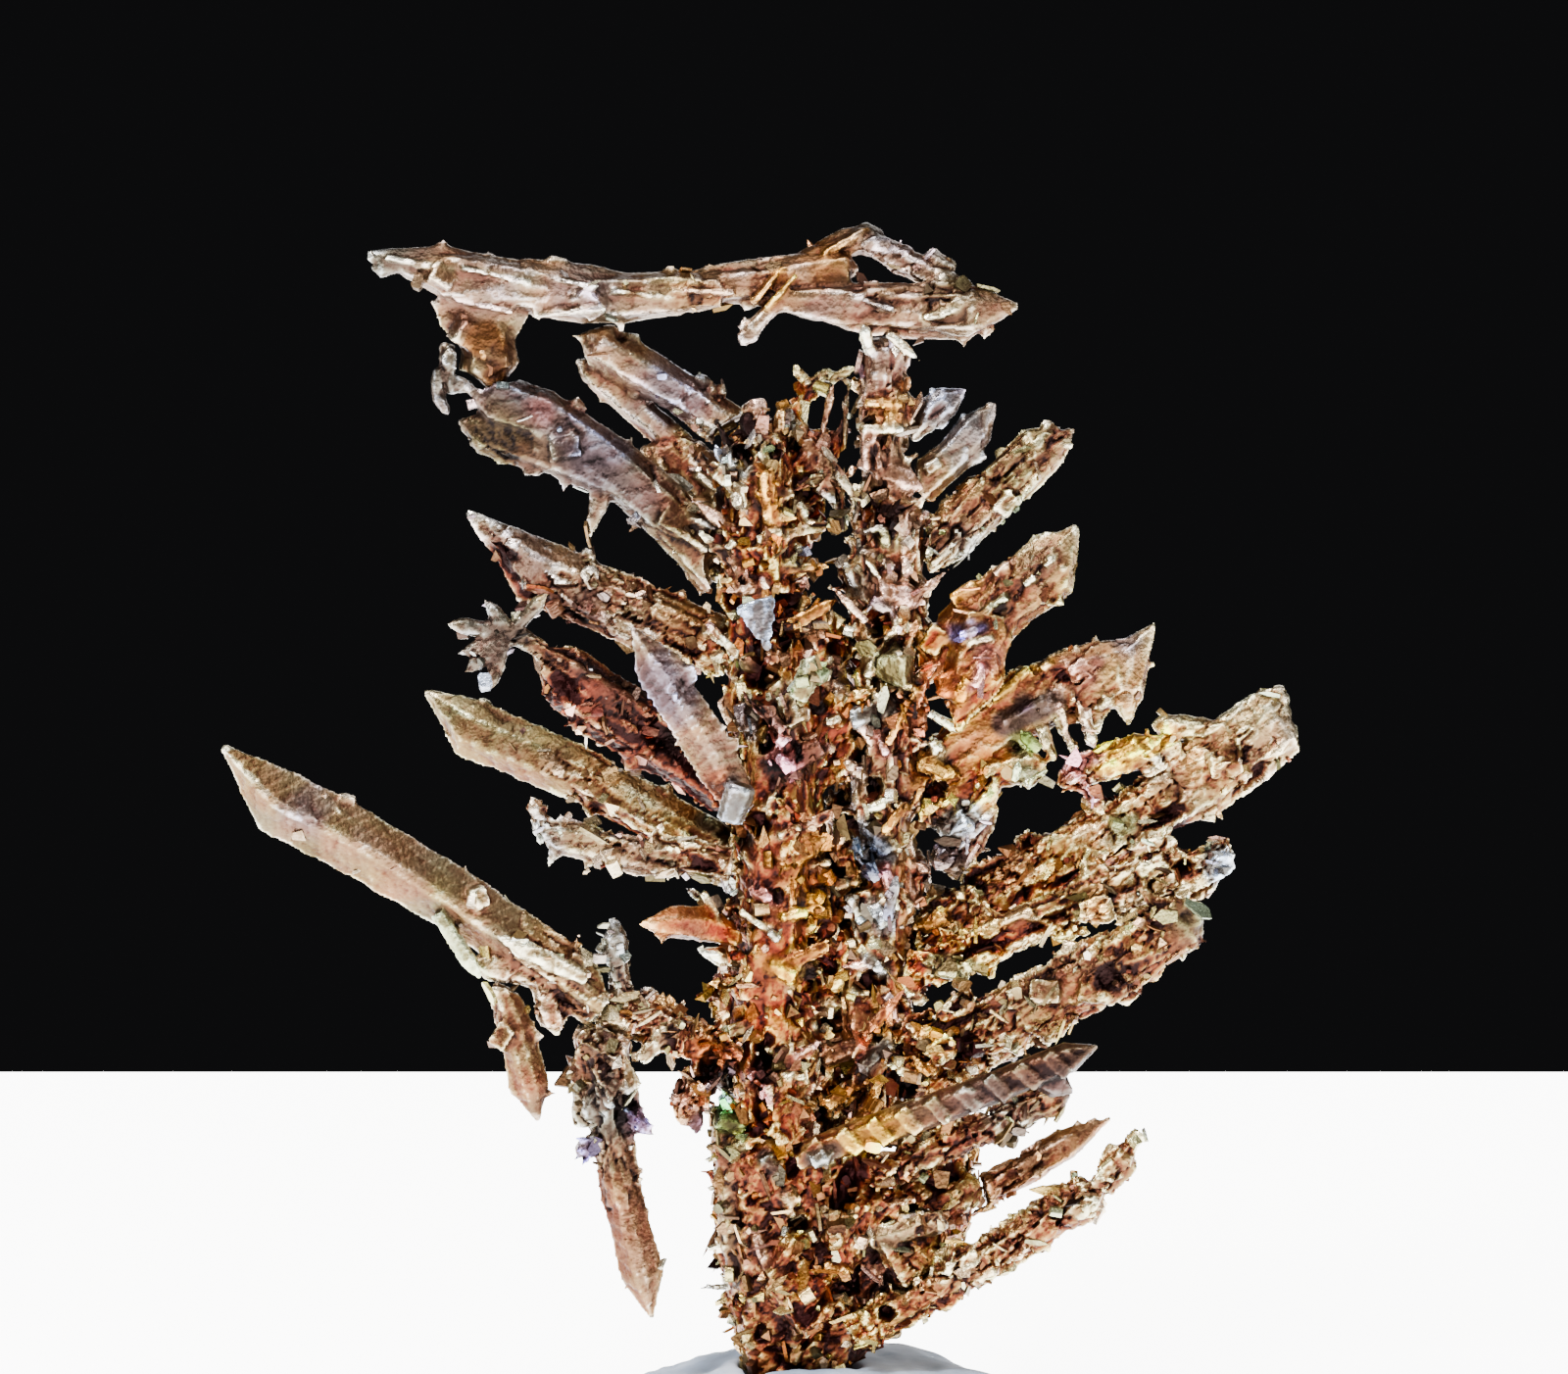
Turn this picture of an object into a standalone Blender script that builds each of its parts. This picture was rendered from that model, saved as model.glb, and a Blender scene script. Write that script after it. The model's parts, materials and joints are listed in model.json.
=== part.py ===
"""Native silver: blade crystals growing fern-like from two upright stems, set in a mound of putty.

The front faces -Y, +Z is up, and the origin is the centre of the putty's flat underside.
Every branch is one solid, and branches meet at the forks with a hairline gap between them.
"""
import math
import random

import bmesh
import bpy
from mathutils import Euler, Matrix, Vector, noise

MM = 0.001

# Driving dimensions, in millimetres
PUTTY_RADIUS = 10.5
PUTTY_HEIGHT = 5.0
PUTTY_DENT = 0.5
SEAT_DEPTH = 1.9
FORK_GAP = 0.3
SHORT_EDGE = 0.004     # edges below this are collapsed after a boolean
KEPT_FACES = 0.47      # share of the faces left once the slivers are collapsed

# A blade: its path from root to tip, width, thickness, then what differs from the usual one:
#   root      width at the root, over the width
#   spread    share of the length over which it widens from the root
#   point     length of the pointed end
#   skew      sideways shift of the very tip, in half widths, + towards the blade's upper edge
#   flat      half width of the flat middle of its face, over the width: small is a sharp ridge
#   roll      turn of its face about its length, in degrees
#   step      how far its edges step in and out as it grew, over the width
#   stations  cross-sections along it
USUAL = {"root": 0.85, "spread": 0.25, "point": 2.2, "skew": 0.0, "flat": 0.28, "roll": 0.0,
         "step": 0.07, "stations": 5}

# Tarnished silver, linear colours
GREY = (0.36, 0.30, 0.26)
TAN = (0.47, 0.36, 0.26)
GOLD = (0.60, 0.36, 0.17)
ROSE = (0.46, 0.30, 0.26)
LILAC = (0.42, 0.36, 0.40)
BROWN = (0.44, 0.26, 0.14)
PUTTY_BLUE = (0.62, 0.68, 0.76)

FRONT = Vector((0.0, -1.0, 0.0))
STEEP = 0.93           # a blade that rises more than this has its upper edge on the right
SPREAD = [Vector(d).normalized() for d in
          [(1, 0, 0), (-1, 0, 0), (0, 1, 0), (0, -1, 0), (0, 0, 1), (0, 0, -1)]
          + [(x, y, z) for x in (-1, 1) for y in (-1, 1) for z in (-1, 1)]]


class Spine:
    """The middle line of a blade, from root to tip, and its half widths along the way."""

    def __init__(self, path, width, thick, rng, **changes):
        self.shape = dict(USUAL, **changes)
        self.points = [Vector(p) for p in path]
        self.width = width
        self.thick = thick
        chord = (self.points[-1] - self.points[0]).normalized()
        across = chord.cross(FRONT)
        self.upper = math.copysign(1.0, across.x if abs(chord.z) > STEEP else across.z)
        self.lay_out()
        self.points[-1] = self.points[-1] - self.axes(1.0)[1] * self.tip_shift()
        self.lay_out()
        self.steps = self.edge_steps(rng)

    def lay_out(self):
        self.lengths = [(b - a).length for a, b in zip(self.points, self.points[1:])]
        self.length = sum(self.lengths)
        self.shoulder = max(0.05, 1.0 - self.shape["point"] / self.length)

    def tip_shift(self):
        return self.shape["skew"] * 0.5 * self.width

    def edge_steps(self, rng):
        """Stations from root to tip, each with the step of its upper and its lower edge."""
        count = self.shape["stations"]
        amount = self.shape["step"]
        places = [self.shoulder * i / (count - 1) for i in range(count)]
        return [(u, rng.uniform(-amount, amount), rng.uniform(-amount, amount)) for u in places]

    def centre(self, u):
        left = u * self.length
        for start, end, length in zip(self.points, self.points[1:], self.lengths):
            if left <= length:
                return start.lerp(end, left / length)
            left -= length
        return self.points[-1].copy()

    def axes(self, u):
        """Along, towards the upper edge, and out of the front face."""
        reach = 0.06
        along = (self.centre(min(1.0, u + reach)) - self.centre(max(0.0, u - reach))).normalized()
        side = along.cross(FRONT).normalized() * self.upper
        turn = Matrix.Rotation(math.radians(self.shape["roll"]), 3, along)
        side = turn @ side
        out = side.cross(along)
        if out.dot(FRONT) < 0:
            out.negate()
        return along, side, out

    def half_width(self, u):
        root = self.shape["root"]
        grown = min(1.0, u / self.shape["spread"])
        return 0.5 * self.width * (root + (1.0 - root) * grown)

    def ring(self, u, upper, lower):
        """A flattened hexagon: an edge at each side and a flat face in front and behind."""
        along, side, out = self.axes(u)
        middle = self.centre(u)
        half = self.half_width(u)
        flat = self.shape["flat"] * self.width
        deep = 0.5 * self.thick
        high = half + upper * self.width
        low = half + lower * self.width
        spots = [(high, 0.0), (min(flat, 0.8 * high), deep), (-min(flat, 0.8 * low), deep),
                 (-low, 0.0), (-min(flat, 0.8 * low), -deep), (min(flat, 0.8 * high), -deep)]
        return [middle + side * s + out * d for s, d in spots]

    def tip(self):
        """A small chisel edge at the end, moved sideways by the skew."""
        along, side, out = self.axes(1.0)
        middle = self.centre(1.0) + side * self.tip_shift()
        blunt = 0.06 * self.width
        spots = [(blunt, 0.0), (0.5 * blunt, blunt), (-0.5 * blunt, blunt),
                 (-blunt, 0.0), (-0.5 * blunt, -blunt), (0.5 * blunt, -blunt)]
        return [middle + side * s + out * d for s, d in spots]

    def rings(self):
        return [self.ring(*step) for step in self.steps] + [self.tip()]


class Branch:
    """One solid: blades, and the small crystals grown on them, all in millimetres."""

    def __init__(self, name, seed):
        self.name = name
        self.rng = random.Random(seed)
        self.blades = []
        self.grains = []

    def blade(self, path, width, thick, **changes):
        spine = Spine(path, width, thick, self.rng, **changes)
        self.blades.append(spine.rings())
        return spine

    def grain(self, centre, size, turn, kind):
        """A cube, an octahedron or a thorn, stretched by size along its own axes."""
        corners = {
            "cube": [(x, y, z) for x in (-1, 1) for y in (-1, 1) for z in (-1, 1)],
            "octahedron": [(1.3, 0, 0), (-1.3, 0, 0), (0, 1.3, 0), (0, -1.3, 0), (0, 0, 1.3),
                           (0, 0, -1.3)],
            "thorn": [(-0.9, -0.7, 0), (0.9, -0.7, 0), (0, -0.7, 0.9), (0, -0.7, -0.9),
                      (0.1, 1.9, 0)],
        }[kind]
        self.grains.append([centre + turn @ Vector([0.5 * c * s for c, s in zip(corner, size)])
                            for corner in corners])

    def edge_grains(self, spine, count, size, start=0.1, end=0.95, edges=(1, -1), kind=None):
        """Small crystals in a row along the blade's edges, like teeth."""
        for i in range(count):
            u = start + (end - start) * (i + self.rng.random()) / count
            along, side, out = spine.axes(u)
            edge = edges[i % len(edges)]
            half = spine.half_width(u) * self.taper(spine, u)
            centre = spine.centre(u) + side * (edge * half * 0.92)
            turn = Matrix((along, side * edge, out)).transposed()
            turn = turn @ Matrix.Rotation(self.rng.uniform(-0.5, 0.5), 3, (0, 0, 1))
            scale = size * self.rng.uniform(0.7, 1.25)
            shape = kind or self.rng.choice(("cube", "thorn", "octahedron"))
            self.grain(centre, (scale * 1.25, scale, scale * 0.8), turn, shape)

    def face_grains(self, spine, count, size, start=0.0, end=0.85, reach=0.75, faces=(1, -1)):
        """Blocks and octahedra standing out of the blade's front and back."""
        for i in range(count):
            u = start + (end - start) * (i + self.rng.random()) / count
            along, side, out = spine.axes(u)
            half = spine.half_width(u) * self.taper(spine, u)
            across = self.rng.uniform(-reach, reach)
            fall = 1.0 - max(0.0, abs(across) - 0.4)
            centre = (spine.centre(u) + side * (across * half)
                      + out * (faces[i % len(faces)] * 0.5 * spine.thick * fall * 0.9))
            turn = Matrix((along, side, out)).transposed()
            turn = turn @ Matrix.Rotation(self.rng.uniform(-0.8, 0.8), 3, (0, 0, 1))
            turn = turn @ Matrix.Rotation(self.rng.uniform(-0.6, 0.6), 3, (1, 0, 0))
            scale = size * self.rng.uniform(0.7, 1.3)
            shape = self.rng.choice(("cube", "cube", "octahedron"))
            self.grain(centre, (scale * 1.3, scale, scale), turn, shape)

    def crowd(self, path, count, size, reach):
        """Big blocks stacked along a path, each turned and shifted its own way."""
        line = Spine(path, size, size, self.rng)
        for i in range(count):
            centre = line.centre((i + 0.5) / count)
            shift = Vector([self.rng.uniform(-reach, reach) for _ in range(3)])
            turn = Euler([self.rng.uniform(-0.5, 0.5), self.rng.uniform(-0.5, 0.5),
                          self.rng.uniform(0.0, 1.5)]).to_matrix()
            scale = [size * self.rng.uniform(0.8, 1.15) for _ in range(3)]
            self.grain(centre + shift, scale, turn, self.rng.choice(("cube", "cube", "octahedron")))

    def taper(self, spine, u):
        """How much of its width a blade still has at a place in its pointed end."""
        if u <= spine.shoulder:
            return 1.0
        return 1.0 - 0.94 * (u - spine.shoulder) / (1.0 - spine.shoulder)

    def hulls(self):
        """The convex pieces that fill this branch."""
        for rings in self.blades:
            for near, far in zip(rings, rings[1:]):
                yield near + far
        yield from self.grains


def mesh_object(name, bm, collection):
    mesh = bpy.data.meshes.new(name)
    bmesh.ops.recalc_face_normals(bm, faces=bm.faces)
    bm.to_mesh(mesh)
    bm.free()
    thing = bpy.data.objects.new(name, mesh)
    collection.objects.link(thing)
    return thing


def lofted(rings):
    """A closed skin through rings that all have the same number of points."""
    bm = bmesh.new()
    rows = [[bm.verts.new(point * MM) for point in ring] for ring in rings]
    for near, far in zip(rows, rows[1:]):
        for i in range(len(near)):
            j = (i + 1) % len(near)
            bm.faces.new((near[i], near[j], far[j], far[i]))
    bm.faces.new(rows[0])
    bm.faces.new(rows[-1])
    return bm


def hulled(points):
    bm = bmesh.new()
    for point in points:
        bm.verts.new(point * MM)
    made = bmesh.ops.convex_hull(bm, input=bm.verts)
    spare = {v for v in made["geom_interior"] + made["geom_unused"]
             if isinstance(v, bmesh.types.BMVert)}
    bmesh.ops.delete(bm, geom=list(spare), context="VERTS")
    return bm


def grown(points, gap):
    return hulled([point + direction * gap for point in points for direction in SPREAD])


def work_collection(name):
    collection = bpy.data.collections.new(name)
    bpy.context.scene.collection.children.link(collection)
    return collection


def empty_out(collection):
    for thing in list(collection.objects):
        mesh = thing.data
        bpy.data.objects.remove(thing)
        bpy.data.meshes.remove(mesh)


def settle(thing):
    """Turns the object's modifiers into its own mesh."""
    depsgraph = bpy.context.evaluated_depsgraph_get()
    result = bpy.data.meshes.new_from_object(thing.evaluated_get(depsgraph))
    thing.modifiers.clear()
    old = thing.data
    thing.data = result
    bpy.data.meshes.remove(old)


def boolean(thing, tools, operation, solver="EXACT"):
    """Applies one boolean of all the tools to the thing."""
    modifier = thing.modifiers.new(operation.lower(), "BOOLEAN")
    modifier.operation = operation
    modifier.operand_type = "COLLECTION"
    modifier.collection = tools
    modifier.solver = solver
    settle(thing)


def cut_away(thing, tools):
    """Cuts with many cutters that overlap, which the exact solver leaves with open edges."""
    if tools.objects:
        boolean(thing, tools, "DIFFERENCE", solver="MANIFOLD")
    empty_out(tools)


def islands(bm):
    left = set(bm.verts)
    while left:
        seed = left.pop()
        island = {seed}
        front = [seed]
        while front:
            vert = front.pop()
            for edge in vert.link_edges:
                other = edge.other_vert(vert)
                if other in left:
                    left.remove(other)
                    island.add(other)
                    front.append(other)
        yield island


def drop_folded_faces(bm):
    """Removes pairs of triangles that lie back to back on the same three corners."""
    by_corners = {}
    for face in bm.faces:
        by_corners.setdefault(frozenset(face.verts), []).append(face)
    folded = [face for pair in by_corners.values() if len(pair) > 1 for face in pair]
    bmesh.ops.delete(bm, geom=folded, context="FACES")


def keep_main_body(thing):
    """Drops any chip that a cut has left loose, then collapses the slivers between crystals."""
    bm = bmesh.new()
    bm.from_mesh(thing.data)
    short = [edge for edge in bm.edges if edge.calc_length() < SHORT_EDGE * MM]
    bmesh.ops.collapse(bm, edges=short)
    bmesh.ops.triangulate(bm, faces=bm.faces)
    drop_folded_faces(bm)
    main = max(islands(bm), key=len)
    bmesh.ops.delete(bm, geom=[v for v in bm.verts if v not in main], context="VERTS")
    bmesh.ops.recalc_face_normals(bm, faces=bm.faces)
    bm.to_mesh(thing.data)
    bm.free()
    thing.data.update()
    modifier = thing.modifiers.new("collapse", "DECIMATE")
    modifier.ratio = KEPT_FACES
    settle(thing)


def silver(name, colour):
    material = bpy.data.materials.new(name)
    material.use_nodes = True
    shader = material.node_tree.nodes["Principled BSDF"]
    shader.inputs["Base Color"].default_value = (*colour, 1.0)
    shader.inputs["Metallic"].default_value = 0.9
    shader.inputs["Roughness"].default_value = 0.38
    return material


def box_of(points):
    return ([min(p[i] for p in points) for i in range(3)],
            [max(p[i] for p in points) for i in range(3)])


def near(box, other, margin):
    return all(box[0][i] - margin <= other[1][i] and other[0][i] - margin <= box[1][i]
               for i in range(3))


def build_branch(branch, earlier, parts, tools, colour):
    """Fuses a branch's crystals, then cuts a hairline where it meets the branches before it."""
    thing = mesh_object(branch.name, lofted(branch.blades[0]), parts)
    for rings in branch.blades[1:]:
        mesh_object("blade", lofted(rings), tools)
    for corners in branch.grains:
        mesh_object("grain", hulled(corners), tools)
    if tools.objects:
        boolean(thing, tools, "UNION")
    empty_out(tools)
    box = box_of([point for hull in branch.hulls() for point in hull])
    for other in earlier:
        for hull in other.hulls():
            if near(box, box_of(hull), FORK_GAP):
                mesh_object("cutter", grown(hull, FORK_GAP), tools)
    cut_away(thing, tools)
    keep_main_body(thing)
    thing.data.materials.append(silver(branch.name, colour))
    return thing


# ---------------------------------------------------------------- the putty

def putty_mound(root, parts, tools):
    """A pressed lump: flat below, domed above, dented by fingers, with a socket for the foot."""
    bm = bmesh.new()
    bmesh.ops.create_uvsphere(bm, u_segments=24, v_segments=16, radius=1.0)
    bmesh.ops.bisect_plane(bm, geom=bm.verts[:] + bm.edges[:] + bm.faces[:], dist=1e-5,
                           plane_co=(0, 0, 0), plane_no=(0, 0, -1), clear_outer=True)
    rim = [edge for edge in bm.edges if edge.is_boundary]
    bmesh.ops.contextual_create(bm, geom=rim)
    for vert in bm.verts:
        place = vert.co.copy()
        dent = noise.noise(place * 2.1 + Vector((3.0, 1.0, 0.0)))
        swell = 1.0 + 0.09 * noise.noise(place * 1.6 + Vector((0.0, 7.0, 2.0)))
        vert.co.x = place.x * PUTTY_RADIUS * swell * MM
        vert.co.y = place.y * PUTTY_RADIUS * swell * MM
        vert.co.z = (place.z * PUTTY_HEIGHT + place.z * PUTTY_DENT * dent) * MM
    thing = mesh_object("putty_mound", bm, parts)
    for hull in root.hulls():
        if min(point.z for point in hull) < PUTTY_HEIGHT + 2 * PUTTY_DENT:
            mesh_object("cutter", grown(hull, FORK_GAP), tools)
    cut_away(thing, tools)
    keep_main_body(thing)
    material = silver("putty", PUTTY_BLUE)
    material.node_tree.nodes["Principled BSDF"].inputs["Metallic"].default_value = 0.0
    material.node_tree.nodes["Principled BSDF"].inputs["Roughness"].default_value = 0.6
    thing.data.materials.append(material)


# ---------------------------------------------------------------- the silver

def root_mass():
    """The crowded foot: a neck in the putty that widens into a fan of blocky crystals."""
    b = Branch("root_mass", 11)
    seat = PUTTY_HEIGHT - SEAT_DEPTH
    neck = b.blade([(-0.9, 0.1, seat), (-0.8, 0.0, 7.0), (-0.7, 0.0, 10.5), (-0.6, -0.1, 14.2)],
                   7.2, 3.6, root=0.5, spread=0.6, point=0.5, flat=0.33, step=0.04, stations=6)
    fan = b.blade([(0.4, 0.3, 5.4), (3.2, 0.4, 8.4), (5.2, 0.3, 13.2)],
                  4.0, 3.0, root=0.6, point=0.8, flat=0.3)
    b.crowd([(-0.8, 0.0, 6.6), (-0.5, 0.0, 13.4)], 9, 2.9, 1.7)
    b.crowd([(2.6, 0.3, 8.4), (4.6, 0.3, 12.6)], 5, 2.5, 0.9)
    b.edge_grains(neck, 9, 1.0, start=0.25, end=0.98)
    b.face_grains(neck, 8, 1.2, start=0.25, end=0.97, reach=0.9)
    b.edge_grains(fan, 4, 1.0, start=0.15, end=0.95)
    b.face_grains(fan, 3, 1.2, start=0.1, end=0.95, reach=0.9)
    b.blade([(-3.5, -0.9, 12.6), (-3.8, -1.0, 14.6), (-3.6, -1.0, 16.0)], 1.4, 1.3, root=0.8,
            point=0.6, stations=3)
    return b


def left_stem():
    """The golden stem: stacked blocks up to a crown, and an arch of thin rods beside the crown."""
    b = Branch("left_stem", 12)
    stem = b.blade([(-1.8, -0.3, 13.8), (-1.8, -0.6, 20.0), (-1.7, -0.7, 28.0),
                    (-2.1, -0.4, 36.0), (-2.4, 0.0, 44.2)],
                   3.4, 3.2, root=1.0, point=1.0, flat=0.27, step=0.09, stations=8)
    b.crowd([(-1.8, -0.4, 15.0), (-1.8, -0.6, 28.0), (-2.2, -0.2, 42.6)], 15, 2.8, 0.6)
    b.crowd([(0.2, 0.2, 15.2), (0.4, 0.4, 26.0)], 6, 2.1, 0.4)
    b.crowd([(0.2, 0.3, 29.6), (0.2, 0.4, 36.0)], 4, 2.1, 0.4)
    b.crowd([(-0.8, 0.2, 39.4), (-0.5, 0.3, 43.4)], 3, 1.9, 0.3)
    b.edge_grains(stem, 7, 1.3, start=0.03, end=0.98)
    b.face_grains(stem, 5, 1.3, start=0.02, end=0.97, reach=0.85)
    b.blade([(-1.6, 0.3, 43.6), (-0.4, 0.5, 45.1), (0.7, 0.6, 46.0)], 1.0, 0.9, point=0.5,
            stations=3)
    b.blade([(0.2, 0.5, 46.0), (1.7, 0.7, 45.0)], 0.55, 0.55, point=0.3, stations=2)
    b.blade([(0.2, 0.5, 41.4), (1.0, 0.6, 42.9), (1.1, 0.6, 45.3)], 0.9, 0.6, point=0.8, stations=3)
    for height, rise, length in ((18.5, 2.6, 6.0), (27.0, 3.0, 6.6), (34.5, 2.4, 5.0)):
        b.blade([(-1.8, 0.4, height), (-2.4, 0.4 + length, height + rise)], 2.0, 1.1,
                point=1.6, stations=4)
    return b


def right_stem():
    """The browner stem beside it, thinner at the top, where it carries the top bar."""
    b = Branch("right_stem", 13)
    stem = b.blade([(2.0, 0.3, 14.2), (2.3, 0.7, 22.0), (2.6, 0.9, 30.0), (2.8, 0.9, 41.5)],
                   3.1, 3.0, root=1.05, point=1.2, flat=0.27, step=0.09, stations=6)
    b.blade([(2.9, 0.9, 39.6), (2.6, 0.8, 43.3), (2.5, 0.8, 45.3), (3.1, 0.7, 47.3)], 2.0, 2.0,
            root=1.1, point=0.5, stations=5)
    b.crowd([(2.1, 0.4, 15.4), (2.5, 0.8, 28.0), (2.8, 0.9, 40.2)], 14, 2.6, 0.5)
    b.crowd([(2.6, 0.8, 42.2), (2.7, 0.8, 46.6)], 3, 1.7, 0.25)
    b.edge_grains(stem, 7, 1.2, start=0.03, end=0.9)
    b.face_grains(stem, 4, 1.2, start=0.02, end=0.9, reach=0.85)
    for height, rise, length in ((16.0, 2.2, 5.6), (23.0, 2.8, 7.0), (31.0, 2.6, 6.0)):
        b.blade([(2.4, 1.4, height), (3.4, 1.4 + length, height + rise)], 2.2, 1.1,
                point=1.6, stations=4)
    return b


def top_bar():
    """The long bar across the top: a thick left end, a spear to the right, a hump above it."""
    b = Branch("top_bar", 21)
    left = b.blade([(-4.0, 0.2, 49.1), (-7.3, -0.1, 48.9), (-10.1, -0.6, 49.0), (-13.3, -1.0, 49.6),
                    (-18.1, -1.5, 50.7)],
                   2.4, 1.7, root=0.55, spread=0.4, point=3.4, skew=0.3, flat=0.3, stations=7)
    middle = b.blade([(-8.2, 0.0, 48.7), (-3.0, 0.6, 49.4), (1.6, 1.0, 50.0)], 1.6, 1.5,
                     root=1.0, point=0.5)
    spear = b.blade([(-1.6, 0.5, 48.7), (3.0, 0.3, 48.3), (8.1, 0.1, 48.5)], 2.3, 1.5,
                    root=0.45, spread=0.4, point=1.9, skew=0.2)
    b.blade([(-1.2, 1.0, 49.9), (0.6, 1.4, 50.7), (2.7, 1.5, 51.4)], 1.2, 1.1, root=0.8,
            point=0.6, stations=4)
    hump = b.blade([(1.8, 1.4, 51.1), (3.6, 1.2, 50.1), (6.6, 0.8, 48.8)], 1.1, 1.1, root=0.9,
                   point=0.8, stations=4)
    wedge = b.blade([(-13.6, -1.0, 49.0), (-13.4, -1.1, 47.3), (-13.0, -1.1, 45.0)], 2.3, 1.2,
                    root=2.0, spread=0.5, point=1.1, stations=4)
    twig = b.blade([(-1.0, 0.3, 49.2), (-3.1, -0.2, 47.2)], 0.7, 0.6, point=0.5, stations=3)
    b.blade([(-16.6, -1.3, 50.3), (-18.1, -1.5, 50.1)], 0.8, 0.7, point=0.4, stations=2)
    b.edge_grains(left, 5, 0.7, end=0.9)
    b.face_grains(left, 3, 0.9, start=0.1, end=0.95)
    b.edge_grains(middle, 2, 0.6)
    b.edge_grains(spear, 5, 0.8, start=0.3, edges=(-1, -1, 1))
    b.face_grains(hump, 2, 0.8, start=0.1, end=0.9)
    b.face_grains(wedge, 2, 0.8, start=0.3)
    b.edge_grains(twig, 2, 0.5, start=0.8)
    return b


def upper_blade():
    """Two rods side by side, from the left stem's crown up to the top bar."""
    b = Branch("upper_blade", 22)
    rod = b.blade([(-2.4, 0.6, 42.6), (-4.4, 0.4, 44.2), (-9.7, 0.0, 47.3)], 2.0, 1.3,
                  point=0.9, flat=0.22)
    lower = b.blade([(-3.4, 0.9, 41.0), (-6.2, 1.0, 43.2), (-9.9, 0.6, 46.3)], 1.2, 1.0,
                    point=0.8, stations=4)
    plate = b.blade([(-3.4, 0.6, 40.4), (-7.2, 0.7, 42.6)], 2.4, 1.0, point=0.9, stations=4)
    b.edge_grains(rod, 4, 0.5, edges=(1, 1, -1))
    b.edge_grains(lower, 3, 0.5, edges=(-1,))
    b.face_grains(plate, 3, 0.7, end=0.9)
    return b


def hooked_blade():
    """A broad blade whose far end turns back in a lip below and a pierced cap above."""
    b = Branch("hooked_blade", 23)
    blade = b.blade([(-3.9, -0.4, 37.5), (-7.0, -0.8, 41.0), (-9.3, -1.0, 42.8), (-11.5, -1.2, 44.4),
                     (-14.1, -1.2, 45.1)], 2.4, 1.5, root=0.9, point=1.0, flat=0.3, stations=7)
    lip = b.blade([(-7.7, -1.0, 41.4), (-10.9, -1.3, 42.7), (-14.6, -1.0, 43.9)], 2.0, 1.0,
                  root=0.7, point=1.2)
    cap = b.blade([(-14.4, -1.0, 45.1), (-14.6, -1.0, 46.1), (-15.0, -0.9, 47.1)], 1.4, 0.9,
                  point=0.5, stations=4)
    b.blade([(-15.3, -1.0, 46.0), (-15.5, -1.0, 45.0), (-14.9, -1.0, 44.1)], 0.55, 0.7, point=0.3,
            stations=4)
    b.edge_grains(blade, 5, 0.6, end=0.8)
    b.face_grains(blade, 3, 0.8, end=0.9)
    b.edge_grains(lip, 2, 0.5, edges=(-1,))
    b.edge_grains(cap, 2, 0.6)
    b.blade([(-8.6, -0.9, 41.8), (-9.3, -1.1, 39.1)], 0.9, 0.6, point=1.2, stations=3)
    return b


def feather_arm():
    """A crooked arm that ends in a spray of thin crystals."""
    b = Branch("feather_arm", 25)
    arm = b.blade([(-3.4, -0.9, 28.9), (-7.8, -1.6, 31.9), (-11.5, -2.4, 35.0)], 2.9, 1.3,
                  root=0.9, point=1.8, skew=0.3)
    b.edge_grains(arm, 5, 0.6)
    b.face_grains(arm, 4, 0.8, end=0.9)
    heart = Vector((-12.4, -2.7, 35.5))
    b.blade([(-11.0, -2.3, 34.6), heart], 0.9, 0.7, point=0.4, stations=2)
    spray = [((-15.0, -3.1, 35.9), 0.75), ((-13.5, -3.0, 36.9), 0.6), ((-10.9, -3.0, 37.2), 0.6),
             ((-14.6, -2.9, 34.6), 0.55), ((-14.3, -3.2, 33.9), 0.8), ((-13.4, -3.1, 33.1), 0.6)]
    for end, width in spray:
        b.blade([heart, heart.lerp(Vector(end), 0.5), end], width, 0.5, root=0.7, point=0.6,
                stations=3)
    return b


def thorn_twig():
    """A thin twig set with thorns, its far end forked."""
    b = Branch("thorn_twig", 27)
    twig = b.blade([(-3.6, -1.4, 25.7), (-7.8, -2.3, 26.5), (-11.4, -3.2, 27.4)], 1.6, 1.0,
                   root=1.0, point=0.8, step=0.12)
    b.edge_grains(twig, 8, 0.7, kind="thorn")
    b.blade([(-11.0, -3.1, 27.2), (-11.7, -3.3, 29.0)], 0.9, 0.6, point=0.6, stations=3)
    return b


def left_fork():
    """The knotted arm low on the left, whose end carries the great blade and two hanging ones."""
    b = Branch("left_fork", 28)
    arm = b.blade([(-3.4, -1.4, 17.6), (-5.6, -2.1, 18.9), (-9.2, -2.9, 20.6)], 2.0, 1.5,
                  root=0.9, point=0.9, step=0.12)
    b.crowd([(-4.6, -1.8, 18.3), (-8.4, -2.7, 20.2)], 5, 1.7, 0.4)
    b.edge_grains(arm, 4, 0.9)
    b.blade([(-8.0, -2.8, 20.4), (-8.3, -3.3, 24.0)], 1.1, 0.7, point=0.8, stations=4)
    b.blade([(-4.2, -1.9, 18.6), (-5.6, -2.7, 15.2)], 1.7, 0.9, point=1.0, stations=4)
    return b


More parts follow.
